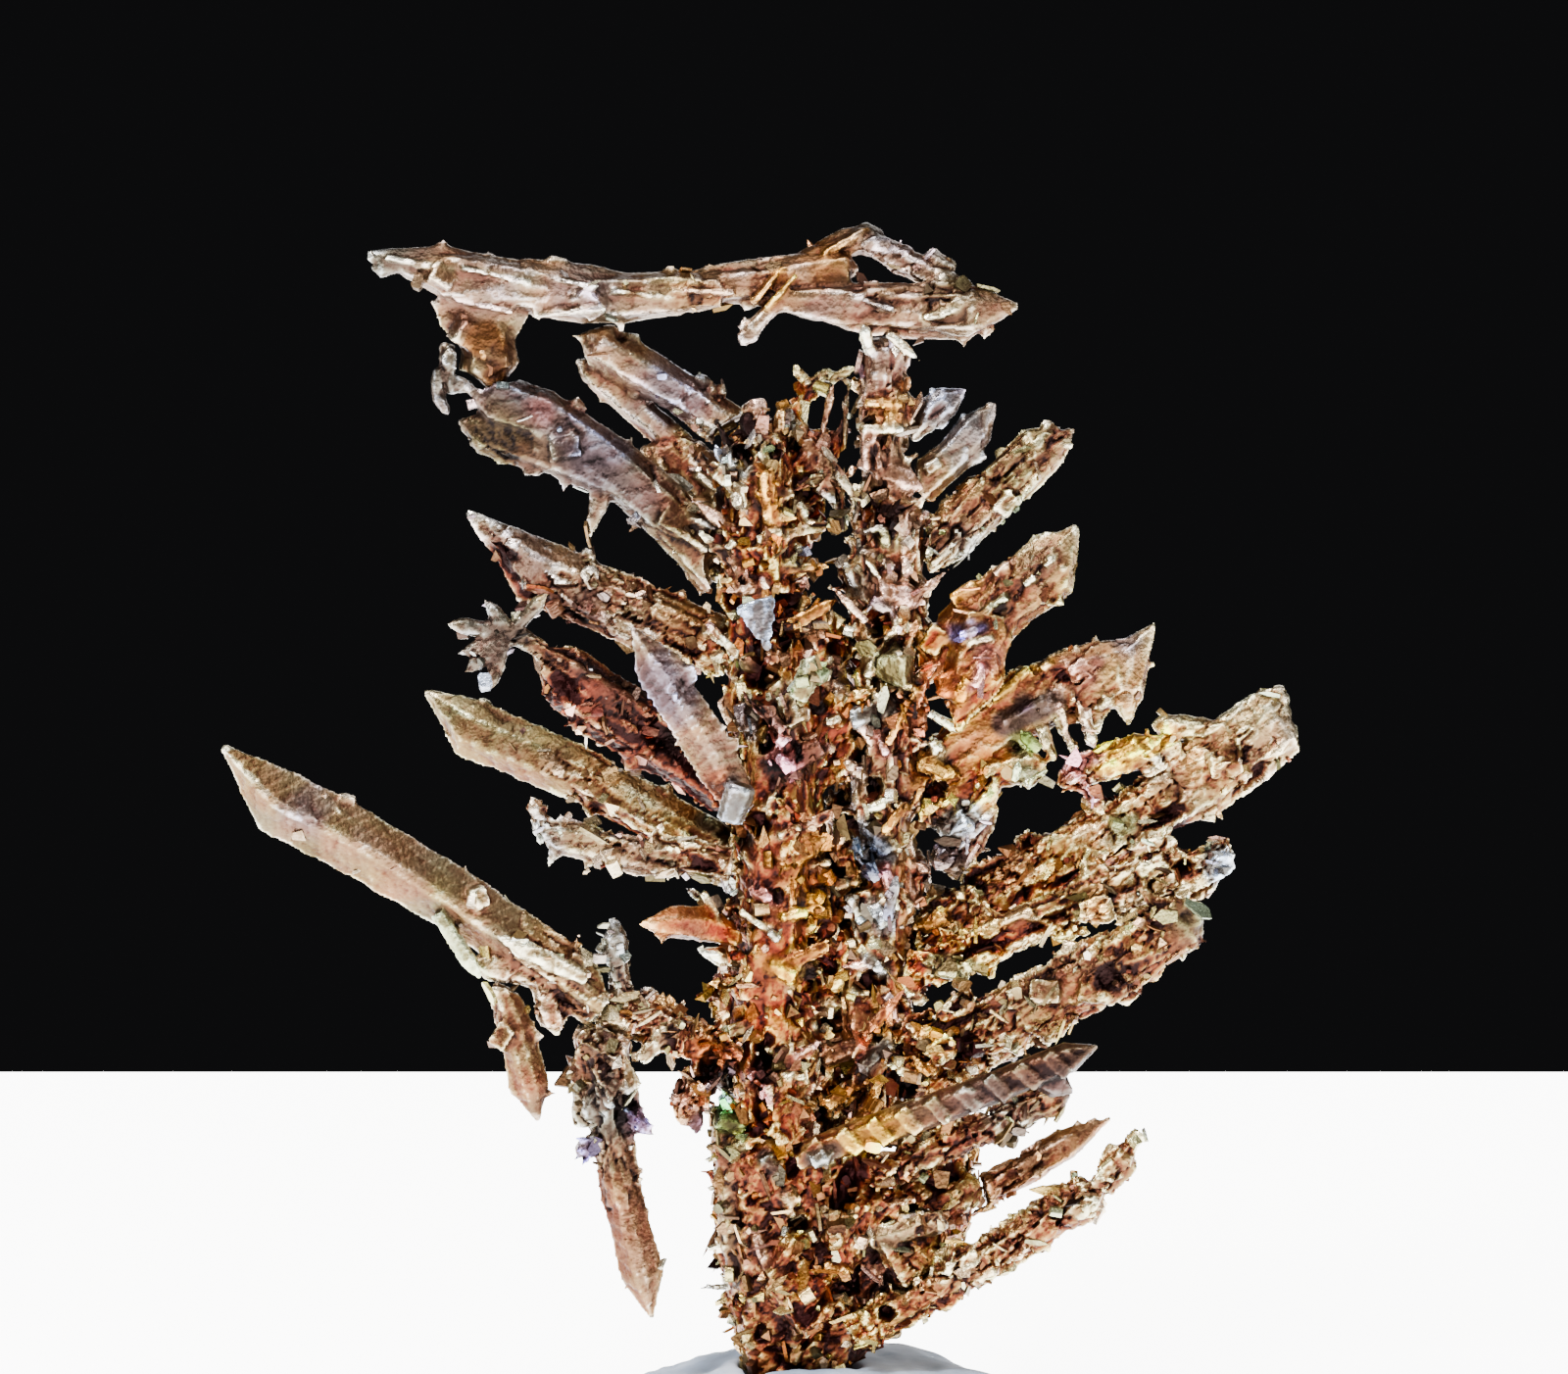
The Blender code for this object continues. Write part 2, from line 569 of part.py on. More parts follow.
def great_blade():
    """The longest blade: a sword with a ridge along its middle and a skewed point."""
    b = Branch("great_blade", 29)
    blade = b.blade([(-8.7, -3.0, 20.3), (-12.1, -3.2, 22.8), (-17.2, -3.6, 26.4),
                     (-23.9, -4.2, 31.0)], 2.9, 1.7, root=0.85, spread=0.85, point=2.8, skew=0.65,
                    flat=0.06, step=0.03)
    b.edge_grains(blade, 5, 0.5, end=0.75)
    b.face_grains(blade, 3, 0.6, end=0.4)
    b.blade([(-10.6, -3.1, 21.4), (-14.2, -3.4, 22.2)], 1.4, 0.9, point=1.0, stations=3)
    b.blade([(-11.2, -3.2, 21.6), (-10.6, -3.1, 19.0)], 1.2, 0.8, point=0.6, stations=3)
    return b


def hanging_blade():
    """A plate of grown-together crystals below the left fork, and the long blade hanging from it."""
    b = Branch("hanging_blade", 31)
    plate = b.blade([(-8.6, -2.9, 19.9), (-8.8, -3.0, 17.6), (-8.6, -3.1, 14.6)], 2.5, 1.2,
                    root=0.8, point=1.3, flat=0.3)
    blade = b.blade([(-8.6, -3.1, 17.0), (-8.2, -3.3, 13.4), (-6.8, -3.6, 7.4)], 1.85, 1.1,
                    root=0.85, point=1.7, flat=0.12, step=0.03)
    b.crowd([(-8.6, -3.0, 18.8), (-8.7, -3.0, 15.6)], 3, 1.7, 0.4)
    b.edge_grains(plate, 4, 0.7, end=0.95)
    for start, end in (((-8.6, -3.2, 16.4), (-6.7, -3.4, 15.0)),
                       ((-8.9, -3.2, 14.9), (-10.0, -3.4, 13.9))):
        b.blade([start, end], 0.9, 0.6, point=0.7, stations=2)
    return b


def forked_blade():
    """A blade on the right with a second, shorter lobe hanging below it."""
    b = Branch("forked_blade", 42)
    blade = b.blade([(4.0, 0.4, 33.6), (7.8, 0.0, 36.5), (10.4, -0.5, 39.4)], 2.9, 1.3,
                    root=0.75, point=1.7, skew=0.6, flat=0.27)
    b.edge_grains(blade, 5, 0.5)
    b.face_grains(blade, 3, 0.7, end=0.8)
    b.blade([(6.8, -0.4, 36.0), (6.4, -0.8, 33.7), (5.6, -0.9, 31.2)], 2.6, 1.1, root=0.9,
            point=2.4, stations=4)
    return b


def jagged_blade():
    """A broad blade with a toothed end, and below it a thin strand, ribs and a hanging drop."""
    b = Branch("jagged_blade", 43)
    blade = b.blade([(4.0, 0.9, 29.1), (9.2, 1.4, 32.5), (13.5, 2.0, 35.0)], 3.1, 1.2,
                    root=0.65, spread=0.7, point=1.3, skew=0.9)
    b.edge_grains(blade, 3, 0.5, edges=(1,))
    b.face_grains(blade, 3, 0.7, end=0.9)
    for start, end in (((12.3, 1.8, 34.2), (12.8, 1.7, 31.0)),
                       ((11.0, 1.6, 33.4), (11.5, 1.5, 30.7))):
        b.blade([start, end], 1.3, 0.8, root=1.4, point=1.2, stations=3)
    b.blade([(3.9, 0.6, 27.4), (7.4, 0.8, 29.4), (9.4, 0.6, 29.7)], 1.4, 0.9, point=0.6,
            stations=4)
    b.blade([(6.9, 0.7, 29.4), (6.6, 0.5, 27.4), (5.6, 0.4, 24.9)], 1.5, 0.9, root=0.8,
            point=1.4, stations=4)
    for i in range(4):
        x = 8.05 + 0.8 * i
        b.blade([(x, 1.15, 31.2 + 0.35 * i), (x + 0.9, 0.7, 29.3 + 0.35 * i)], 0.5, 0.7,
                point=0.3, stations=2)
    return b


def long_arm():
    """The longest arm on the right, with a bright bar reaching back from its upper edge."""
    b = Branch("long_arm", 44)
    arm = b.blade([(3.8, 1.0, 21.9), (6.7, 1.2, 23.6), (11.9, 1.7, 26.5), (15.6, 2.1, 28.6),
                   (19.1, 2.5, 32.4)],
                  3.2, 1.4, root=0.9, point=1.0, skew=0.6, step=0.05, stations=7)
    bar = b.blade([(14.9, 2.0, 30.0), (11.9, 1.2, 29.5), (9.7, 0.6, 28.8)], 1.5, 1.1, point=0.7,
                  stations=4)
    b.edge_grains(arm, 7, 0.75, end=0.85)
    b.face_grains(arm, 5, 0.9, end=0.85)
    b.blade([(10.3, 0.8, 29.2), (11.8, 0.5, 27.5)], 0.6, 0.5, point=0.6, stations=2)
    b.blade([(16.6, 2.2, 30.8), (13.7, 1.9, 31.1)], 1.0, 0.9, point=0.5, stations=3)
    b.edge_grains(bar, 2, 0.4)
    return b


def lace_arm(name, seed, path, width, side, leaf):
    """A pitted, lacy arm: a rod with crowded crystals along its edges, and a smooth leaf at its end."""
    b = Branch(name, seed)
    arm = b.blade(path, width, 1.1, root=1.0, point=1.0, step=0.14, stations=6)
    b.blade(leaf, 0.75 * width, 0.8, root=0.7, point=0.9, stations=4)
    b.edge_grains(arm, 8, 0.95, edges=side)
    b.face_grains(arm, 4, 0.9, end=0.95)
    return b


def ribbed_bar():
    """A bar in front, crossed by a ladder of short facets."""
    b = Branch("ribbed_bar", 47)
    start = Vector((-0.9, -3.3, 14.0))
    end = Vector((11.4, -3.9, 18.8))
    bar = b.blade([start, start.lerp(end, 0.5) + Vector((0, 0, -0.15)), end], 1.5, 1.1, root=0.8,
                  point=1.3)
    ribs = 9
    for i in range(ribs):
        u = 0.08 + 0.78 * i / (ribs - 1)
        along, side, out = bar.axes(u)
        turn = Matrix((along, side, out)).transposed() @ Matrix.Rotation(0.35, 3, (0, 0, 1))
        b.grain(bar.centre(u) + out * 0.4, (0.55, 1.25, 0.5), turn, "cube")
    b.blade([(8.8, -3.5, 17.6), (10.4, -3.4, 16.7)], 1.3, 0.8, point=0.8, stations=3)
    return b


def lowest_blade():
    """The lowest branch: a lumpy bar with a knob at its end and a thin spur on the knob."""
    b = Branch("lowest_blade", 51)
    spine = b.blade([(1.6, -1.6, 6.3), (4.0, -1.9, 7.9), (6.6, -2.2, 9.4), (9.0, -2.4, 10.9),
                     (11.6, -2.7, 12.7)],
                    1.75, 1.3, root=1.1, point=0.6, step=0.08)
    b.edge_grains(spine, 5, 0.6)
    b.face_grains(spine, 4, 0.8, end=0.7)
    b.blade([(11.5, -2.7, 12.6), (12.1, -2.8, 13.6), (12.8, -2.8, 14.4)], 1.5, 0.9, root=0.8,
            point=0.6, stations=3)
    b.blade([(12.4, -2.8, 13.9), (13.1, -2.9, 15.1)], 0.6, 0.55, point=0.4, stations=2)
    return b


def plain_branch(name, seed, path, width, thick, teeth=5, blocks=3, tooth=0.5, block=0.7,
                 **changes):
    """A branch of one blade with teeth along its edges and blocks on its faces."""
    b = Branch(name, seed)
    spine = b.blade(path, width, thick, **changes)
    b.edge_grains(spine, teeth, tooth)
    b.face_grains(spine, blocks, block, end=0.7)
    return b


def branches():
    """Every branch with its colour, those nearer the stems first."""
    yield root_mass(), BROWN
    yield left_stem(), GOLD
    yield right_stem(), BROWN
    yield top_bar(), GREY
    yield upper_blade(), GREY
    yield hooked_blade(), LILAC
    yield plain_branch("left_spear", 24, [(-3.6, 0.4, 34.4), (-9.0, 0.8, 36.6),
                                          (-14.2, 1.0, 39.9)],
                       3.0, 1.4, root=0.75, point=3.4, skew=0.7, flat=0.2), ROSE
    yield feather_arm(), ROSE
    yield plain_branch("left_lance", 26, [(-3.3, 0.9, 25.6), (-8.7, 1.8, 28.5),
                                          (-16.2, 3.0, 32.3)],
                       2.45, 1.3, point=2.2, skew=0.5, flat=0.2, stations=6), TAN
    yield plain_branch("leaf_blade", 32, [(-3.0, -2.4, 28.3), (-5.0, -4.0, 32.0),
                                          (-7.5, -5.4, 36.1)],
                       2.0, 1.1, teeth=4, blocks=0, flat=0.08, root=0.8), LILAC
    yield thorn_twig(), TAN
    yield plain_branch("lens_crystal", 33, [(-3.5, -1.8, 23.0), (-5.0, -2.8, 23.6),
                                            (-7.3, -4.0, 23.8)],
                       1.4, 1.0, teeth=2, blocks=1, root=0.5, point=1.6, stations=4), GOLD
    yield left_fork(), ROSE
    yield great_blade(), TAN
    yield plain_branch("drop_blade", 30, [(-13.0, -3.3, 21.3), (-12.3, -3.3, 19.6),
                                          (-11.4, -3.4, 15.5)],
                       1.7, 1.0, teeth=3, blocks=1, root=0.6, point=1.5, flat=0.15,
                       stations=4), TAN
    yield hanging_blade(), ROSE
    yield plain_branch("right_blade_1", 34, [(3.0, 0.9, 43.0), (6.0, 0.9, 45.0)], 1.3, 0.8,
                       teeth=2, blocks=0, point=0.9, stations=4), GREY
    yield plain_branch("right_blade_2", 35, [(3.4, 0.9, 40.4), (5.6, 1.1, 42.4),
                                             (7.2, 1.2, 44.4)],
                       1.6, 0.9, teeth=3, blocks=1, point=1.3, stations=4), GREY
    yield plain_branch("right_blade_3", 41, [(3.6, 0.9, 37.7), (7.0, 1.2, 40.5),
                                             (10.4, 1.5, 43.3)],
                       2.2, 1.1, root=0.75, point=1.5, skew=-0.35), TAN
    yield forked_blade(), TAN
    yield jagged_blade(), ROSE
    yield long_arm(), TAN
    yield lace_arm("lace_arm_upper", 45, [(3.4, -0.4, 20.8), (10.2, -1.0, 24.0),
                                          (16.6, -1.5, 26.3)],
                   2.2, (1, -1), [(15.6, -1.4, 24.9), (16.7, -1.5, 27.1)]), TAN
    yield lace_arm("lace_arm_lower", 46, [(3.4, -0.9, 17.8), (9.8, -2.0, 20.6),
                                          (15.6, -3.0, 24.4)],
                   2.6, (-1, 1, -1), [(15.3, -3.0, 24.2), (12.9, -2.9, 22.1), (10.6, -2.8, 20.5)]), TAN
    yield plain_branch("low_blade", 48, [(3.4, 1.0, 16.0), (6.7, 1.5, 17.8), (10.6, 2.0, 19.6)],
                       2.6, 1.2, root=0.9, point=1.8), ROSE
    yield ribbed_bar(), TAN
    yield plain_branch("bar_below", 49, [(2.2, -2.0, 12.9), (6.0, -1.8, 14.6),
                                         (10.5, -1.5, 16.5)],
                       1.5, 1.0, blocks=2, point=1.0), ROSE
    yield plain_branch("thin_blade", 50, [(4.2, -0.6, 10.3), (7.5, -0.3, 12.35), (9.6, -0.2, 13.5),
                                          (12.1, 0.0, 15.0)],
                       1.5, 0.9, teeth=3, blocks=2, tooth=0.4, block=0.5, point=2.2), ROSE
    yield lowest_blade(), TAN


def main():
    for thing in list(bpy.data.objects):
        bpy.data.objects.remove(thing)
    parts = work_collection("native_silver")
    tools = work_collection("cutters")
    earlier = []
    for branch, colour in branches():
        build_branch(branch, earlier, parts, tools, colour)
        earlier.append(branch)
    putty_mound(earlier[0], parts, tools)


main()
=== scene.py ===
"""Native silver: the tarnished surface, the fine crystals and the stage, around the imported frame.

Lengths in this script are millimetres unless a name says otherwise; Blender's own are metres.
"""

import json
import math
from itertools import product

import bmesh
import bpy
import numpy as np
from bpy.props import FloatProperty, FloatVectorProperty, IntProperty, PointerProperty
from bpy.types import Operator, Panel, PropertyGroup
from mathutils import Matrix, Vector
from mathutils.bvhtree import BVHTree


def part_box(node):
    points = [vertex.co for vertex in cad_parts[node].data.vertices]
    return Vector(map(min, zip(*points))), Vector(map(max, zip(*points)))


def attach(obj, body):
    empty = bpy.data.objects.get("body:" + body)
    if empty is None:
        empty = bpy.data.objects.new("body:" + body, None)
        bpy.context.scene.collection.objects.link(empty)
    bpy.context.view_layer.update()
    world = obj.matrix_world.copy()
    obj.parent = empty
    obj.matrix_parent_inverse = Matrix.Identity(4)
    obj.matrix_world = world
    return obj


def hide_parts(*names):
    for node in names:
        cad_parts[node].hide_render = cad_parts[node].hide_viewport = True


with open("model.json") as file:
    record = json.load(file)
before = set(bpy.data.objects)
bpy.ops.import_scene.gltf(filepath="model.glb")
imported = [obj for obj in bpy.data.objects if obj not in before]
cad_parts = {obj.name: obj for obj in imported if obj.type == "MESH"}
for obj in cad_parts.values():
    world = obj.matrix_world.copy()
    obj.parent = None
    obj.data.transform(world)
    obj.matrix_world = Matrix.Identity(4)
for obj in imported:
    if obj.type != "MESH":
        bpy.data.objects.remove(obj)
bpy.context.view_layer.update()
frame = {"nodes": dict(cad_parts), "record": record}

bl_info = {
    "name": "Native silver specimen",
    "version": (1, 0, 0),
    "blender": (4, 5, 0),
    "location": "3D View > Sidebar > Native silver",
    "description": "Dresses the branches of a native silver specimen with crystals and tarnish",
    "category": "Object",
}

MM = 0.001
BODY = "root"
IMAGE_SIZE = (1600, 1402)


def linear(red, green, blue):
    """A colour given as it looks on a screen, 0 to 255, in the linear values that Blender mixes."""
    return tuple((c / 255.0) ** 2.2 for c in (red, green, blue))


# How each branch has grown and tarnished. Pairs run from the branch's root to its tip.
#   warm      how golden the tarnish is
#   crust     how much of the face is covered by grown-on grains
#   tint      what the silver's own colour is multiplied by
#   depth     depth of the grains, over the usual one
#   chevron   depth and pitch of the slanting growth lines
#   pits      how much of the face is eaten into pits
#   hole      how deep the pits are
#   fibre     how far the fine strands along it stand out
#   barbs     crystals that sprout from it: how many, shortest, longest, and how blocky, 0 to 1
#   drawn     how far its grains are drawn out along it: 1 is not at all
#   core      how far the branch itself draws back under them
#   shade     how much paler, +, or darker, -
#   seeds     small crystals grown on it, over the usual number
#   seed_size their size, over the usual one
USUAL = {"warm": (0.6, 0.15), "crust": (0.8, 0.2), "tint": ((1, 1, 1), (1, 1, 1)), "depth": 1.0,
         "chevron": (0.04, 0.8), "pits": 0.35, "hole": 0.3, "fibre": 0.06, "seeds": (0.8, 0.2),
         "seed_size": 1.0, "shade": (0.0, 0.0), "barbs": (6, 0.5, 0.9, 0.0), "core": (0.0, 0.0),
         "drawn": 0.42}
PALE = (1.06, 1.03, 1.0)
ROSY = (1.1, 0.93, 0.88)
MAUVE = (1.0, 0.88, 1.04)
SMOKY = (0.95, 0.96, 1.06)
TEA = (0.98, 1.0, 0.86)
HONEY = (1.06, 1.0, 0.8)
STONE = (0.98, 0.99, 1.0)

LOOKS = {
    "root_mass": {"drawn": 0.9, "core": (0.02, -0.1), "warm": (0.5, 0.75), "crust": (1.0, 1.0), "depth": 0.6, "pits": 0.5, "hole": 0.6,
                  "seeds": (0.9, 0.8), "seed_size": 1.3, "tint": (HONEY, (1, 1, 1)), "shade": (-0.13, -0.14), "barbs": (150, 0.5, 0.95, 0.8), "fibre": 0.1},
    "left_stem": {"core": (-0.14, 0.2), "warm": (0.8, 0.75), "crust": (1.0, 1.0), "depth": 0.55, "pits": 0.7, "hole": 0.8,
                  "seeds": (1.0, 0.8), "seed_size": 1.25, "barbs": (170, 0.7, 2.2, 0.1), "fibre": 0.12, "shade": (-0.1, -0.08)},
    "right_stem": {"core": (-0.14, 0.05), "warm": (0.75, 0.25), "crust": (1.0, 0.65), "depth": 0.55, "pits": 0.7,
                   "hole": 0.7, "seeds": (1.0, 0.6), "seed_size": 1.25, "tint": ((1, 1, 1), ROSY), "barbs": (150, 0.7, 2.0, 0.15),
                   "fibre": 0.12, "shade": (-0.05, 0.06)},
    "top_bar": {"warm": (0.22, 0.06), "crust": (0.45, 0.3), "tint": (MAUVE, STONE), "pits": 0.45,
                "chevron": (0.0, 1.4), "seeds": (0.35, 0.3), "fibre": 0.16, "depth": 0.8},
    "upper_blade": {"shade": (-0.07, -0.04), "warm": (0.4, 0.0), "crust": (0.35, 0.1), "tint": (STONE, SMOKY), "chevron": (0.03, 0.7),
                    "fibre": 0.12, "barbs": (16, 0.5, 1.2, 0.0)},
    "hooked_blade": {"warm": (0.3, -0.04), "crust": (0.6, 0.12), "tint": (STONE, (0.95, 0.93, 1.16)),
                     "chevron": (0.05, 0.9), "pits": 0.3, "shade": (-0.09, -0.19), "fibre": 0.1, "barbs": (9, 0.5, 1.2, 0.0)},
    "left_spear": {"shade": (0.01, 0.04), "warm": (0.6, 0.0), "crust": (0.8, 0.3), "tint": (PALE, (1.03, 0.97, 1.16)), "seeds": (1.0, 0.3),
                   "pits": 0.5, "barbs": (22, 0.5, 1.2, 0.0)},
    "feather_arm": {"warm": (0.75, 0.15), "crust": (0.9, 0.4), "tint": ((1.1, 0.8, 0.84), (1, 0.95, 0.9)),
                    "seeds": (1.0, 0.7), "shade": (-0.44, -0.14), "pits": 0.55, "barbs": (30, 0.5, 1.2, 0.0)},
    "left_lance": {"warm": (0.55, 0.1), "crust": (0.65, 0.08), "tint": ((1, 1, 1), TEA), "barbs": (12, 0.5, 1.2, 0.0)},
    "leaf_blade": {"warm": (0.3, 0.02), "crust": (0.25, 0.0), "tint": ((1.0, 0.96, 1.02), (0.96, 0.92, 1.04)),
                   "chevron": (0.05, 0.5), "pits": 0.1, "seeds": (0.25, 0.05), "shade": (-0.09, -0.03), "fibre": 0.02},
    "thorn_twig": {"warm": (0.45, 0.1), "crust": (0.9, 0.8), "tint": (PALE, STONE), "seeds": (1.2, 1.0),
                   "shade": (0.04, 0.04), "barbs": (30, 0.5, 1.2, 0.0), "depth": 0.8},
    "lens_crystal": {"warm": (0.9, 0.9), "crust": (0.0, 0.0), "tint": ((1.12, 0.9, 0.8), (1.12, 0.9, 0.8)),
                     "seeds": (0.2, 0.1), "chevron": (0.02, 0.5), "shade": (-0.18, -0.12), "fibre": 0.1},
    "left_fork": {"drawn": 0.72, "warm": (0.7, 0.1), "crust": (0.9, 0.7), "tint": ((1.12, 0.82, 0.78), STONE),
                  "seeds": (1.1, 0.9), "barbs": (50, 0.5, 1.2, 0.0), "pits": 0.5},
    "great_blade": {"warm": (0.4, 0.12), "crust": (0.5, -0.1), "tint": (PALE, (1.0, 0.97, 0.97)),
                    "chevron": (0.025, 0.5), "pits": 0.15, "seeds": (0.8, 0.02), "shade": (0.0, 0.0), "fibre": 0.02},
    "drop_blade": {"shade": (-0.12, -0.1), "warm": (0.35, 0.25), "crust": (0.5, 0.05), "tint": (PALE, (1.0, 0.86, 0.84)),
                   "seeds": (0.7, 0.15)},
    "hanging_blade": {"shade": (-0.1, -0.16), "warm": (0.1, 0.3), "crust": (0.75, 0.0), "tint": (STONE, (1.08, 0.92, 0.84)),
                      "seeds": (0.8, 0.1), "barbs": (14, 0.5, 1.2, 0.0)},
    "right_blade_1": {"warm": (0.3, 0.02), "crust": (0.3, -0.1), "tint": (PALE, MAUVE), "seeds": (0.3, 0.02)},
    "right_blade_2": {"warm": (0.3, 0.02), "crust": (0.3, -0.1), "tint": (PALE, STONE), "seeds": (0.3, 0.02)},
    "right_blade_3": {"shade": (-0.03, -0.02), "warm": (0.45, 0.05), "crust": (0.7, 0.3), "tint": (TEA, STONE), "seeds": (0.8, 0.25),
                      "barbs": (8, 0.5, 1.2, 0.0), "fibre": 0.1},
    "forked_blade": {"shade": (-0.03, -0.03), "warm": (0.95, 0.1), "crust": (0.65, 0.25), "tint": (HONEY, TEA),
                     "seeds": (0.8, 0.3), "barbs": (12, 0.5, 1.2, 0.0), "fibre": 0.1},
    "jagged_blade": {"shade": (0.05, 0.05), "warm": (0.8, 0.25), "crust": (0.6, 0.3), "tint": (HONEY, PALE), "seeds": (0.9, 0.35),
                     "pits": 0.45, "barbs": (14, 0.5, 1.2, 0.0), "fibre": 0.14},
    "long_arm": {"drawn": 0.58, "warm": (0.75, 0.15), "crust": (0.95, 0.35), "shade": (0.0, 0.14), "tint": (HONEY, (1.04, 1.0, 0.92)),
                 "seeds": (0.9, 0.4), "depth": 1.15, "pits": 0.62, "hole": 0.5, "fibre": 0.14, "barbs": (46, 0.5, 1.2, 0.0)},
    "lace_arm_upper": {"drawn": 0.58, "warm": (0.85, 0.2), "crust": (1.0, 0.5), "shade": (0.0, 0.12), "tint": (HONEY, TEA), "seeds": (1.0, 0.6),
                       "depth": 1.15, "pits": 0.66, "hole": 0.5, "fibre": 0.14, "barbs": (44, 0.5, 1.2, 0.0)},
    "lace_arm_lower": {"drawn": 0.58, "warm": (0.75, 0.25), "crust": (1.0, 0.6), "shade": (-0.06, -0.18), "tint": ((1, 1, 1), TEA),
                       "seeds": (1.1, 0.7), "depth": 1.15, "pits": 0.66, "hole": 0.5, "fibre": 0.14, "barbs": (44, 0.5, 1.2, 0.0)},
    "low_blade": {"drawn": 0.9, "warm": (0.8, 0.4), "crust": (1.0, 0.8), "tint": (ROSY, (1, 1, 1)), "seeds": (1.2, 0.9),
                  "fibre": 0.12, "barbs": (40, 0.5, 1.2, 0.0), "pits": 0.5},
    "ribbed_bar": {"warm": (0.4, 0.0), "crust": (0.2, 0.1), "tint": (HONEY, SMOKY), "seeds": (0.2, 0.3),
                   "chevron": (0.02, 0.6), "shade": (-0.06, -0.33), "fibre": 0.03},
    "bar_below": {"drawn": 0.72, "pits": 0.5, "warm": (0.75, 0.2), "crust": (1.0, 0.7), "tint": ((1.0, 0.95, 0.9), STONE),
                  "seeds": (1.0, 0.5), "shade": (-0.2, -0.12), "barbs": (14, 0.5, 1.2, 0.0)},
    "thin_blade": {"shade": (-0.04, 0.0), "warm": (0.75, 0.35), "crust": (0.6, 0.2), "tint": (ROSY, (1.06, 0.93, 0.86)),
                   "seeds": (0.8, 0.3)},
    "lowest_blade": {"drawn": 0.72, "pits": 0.45, "warm": (0.7, 0.25), "crust": (0.85, 0.6), "tint": (HONEY, (1.02, 1.02, 0.92)),
                     "seeds": (1.0, 0.5), "shade": (-0.02, -0.04), "fibre": 0.14, "barbs": (24, 0.5, 1.2, 0.0)},
}

# Colours of the stains and of the crystals that stand out
AMBER = linear(150, 96, 20)
BRONZE = linear(84, 48, 14)
FLAME = linear(134, 62, 8)
RUST = linear(92, 42, 14)
MAROON = linear(74, 14, 18)
PLUM = linear(50, 30, 42)
VIOLET = linear(92, 80, 138)
LILAC = linear(112, 104, 126)
PINK = linear(168, 102, 104)
ROSE = linear(150, 106, 84)
CREAM = linear(166, 148, 112)
LEMON = linear(202, 154, 40)
OLIVE = linear(104, 96, 60)
MOSS = linear(66, 78, 26)
SAGE = linear(118, 118, 84)
EMERALD = linear(110, 220, 120)
STEEL = linear(108, 116, 136)
SLATE = linear(44, 46, 54)
ASH = linear(102, 101, 98)

STAIN_BASE = linear(142, 124, 98)       # the silver's own colour where a stain covers it

HUE_GOLDEN = (0.05, 0.03, -0.13)        # how the hue drifts along and across the branches
HUE_OLIVE = (-0.08, 0.05, -0.03)

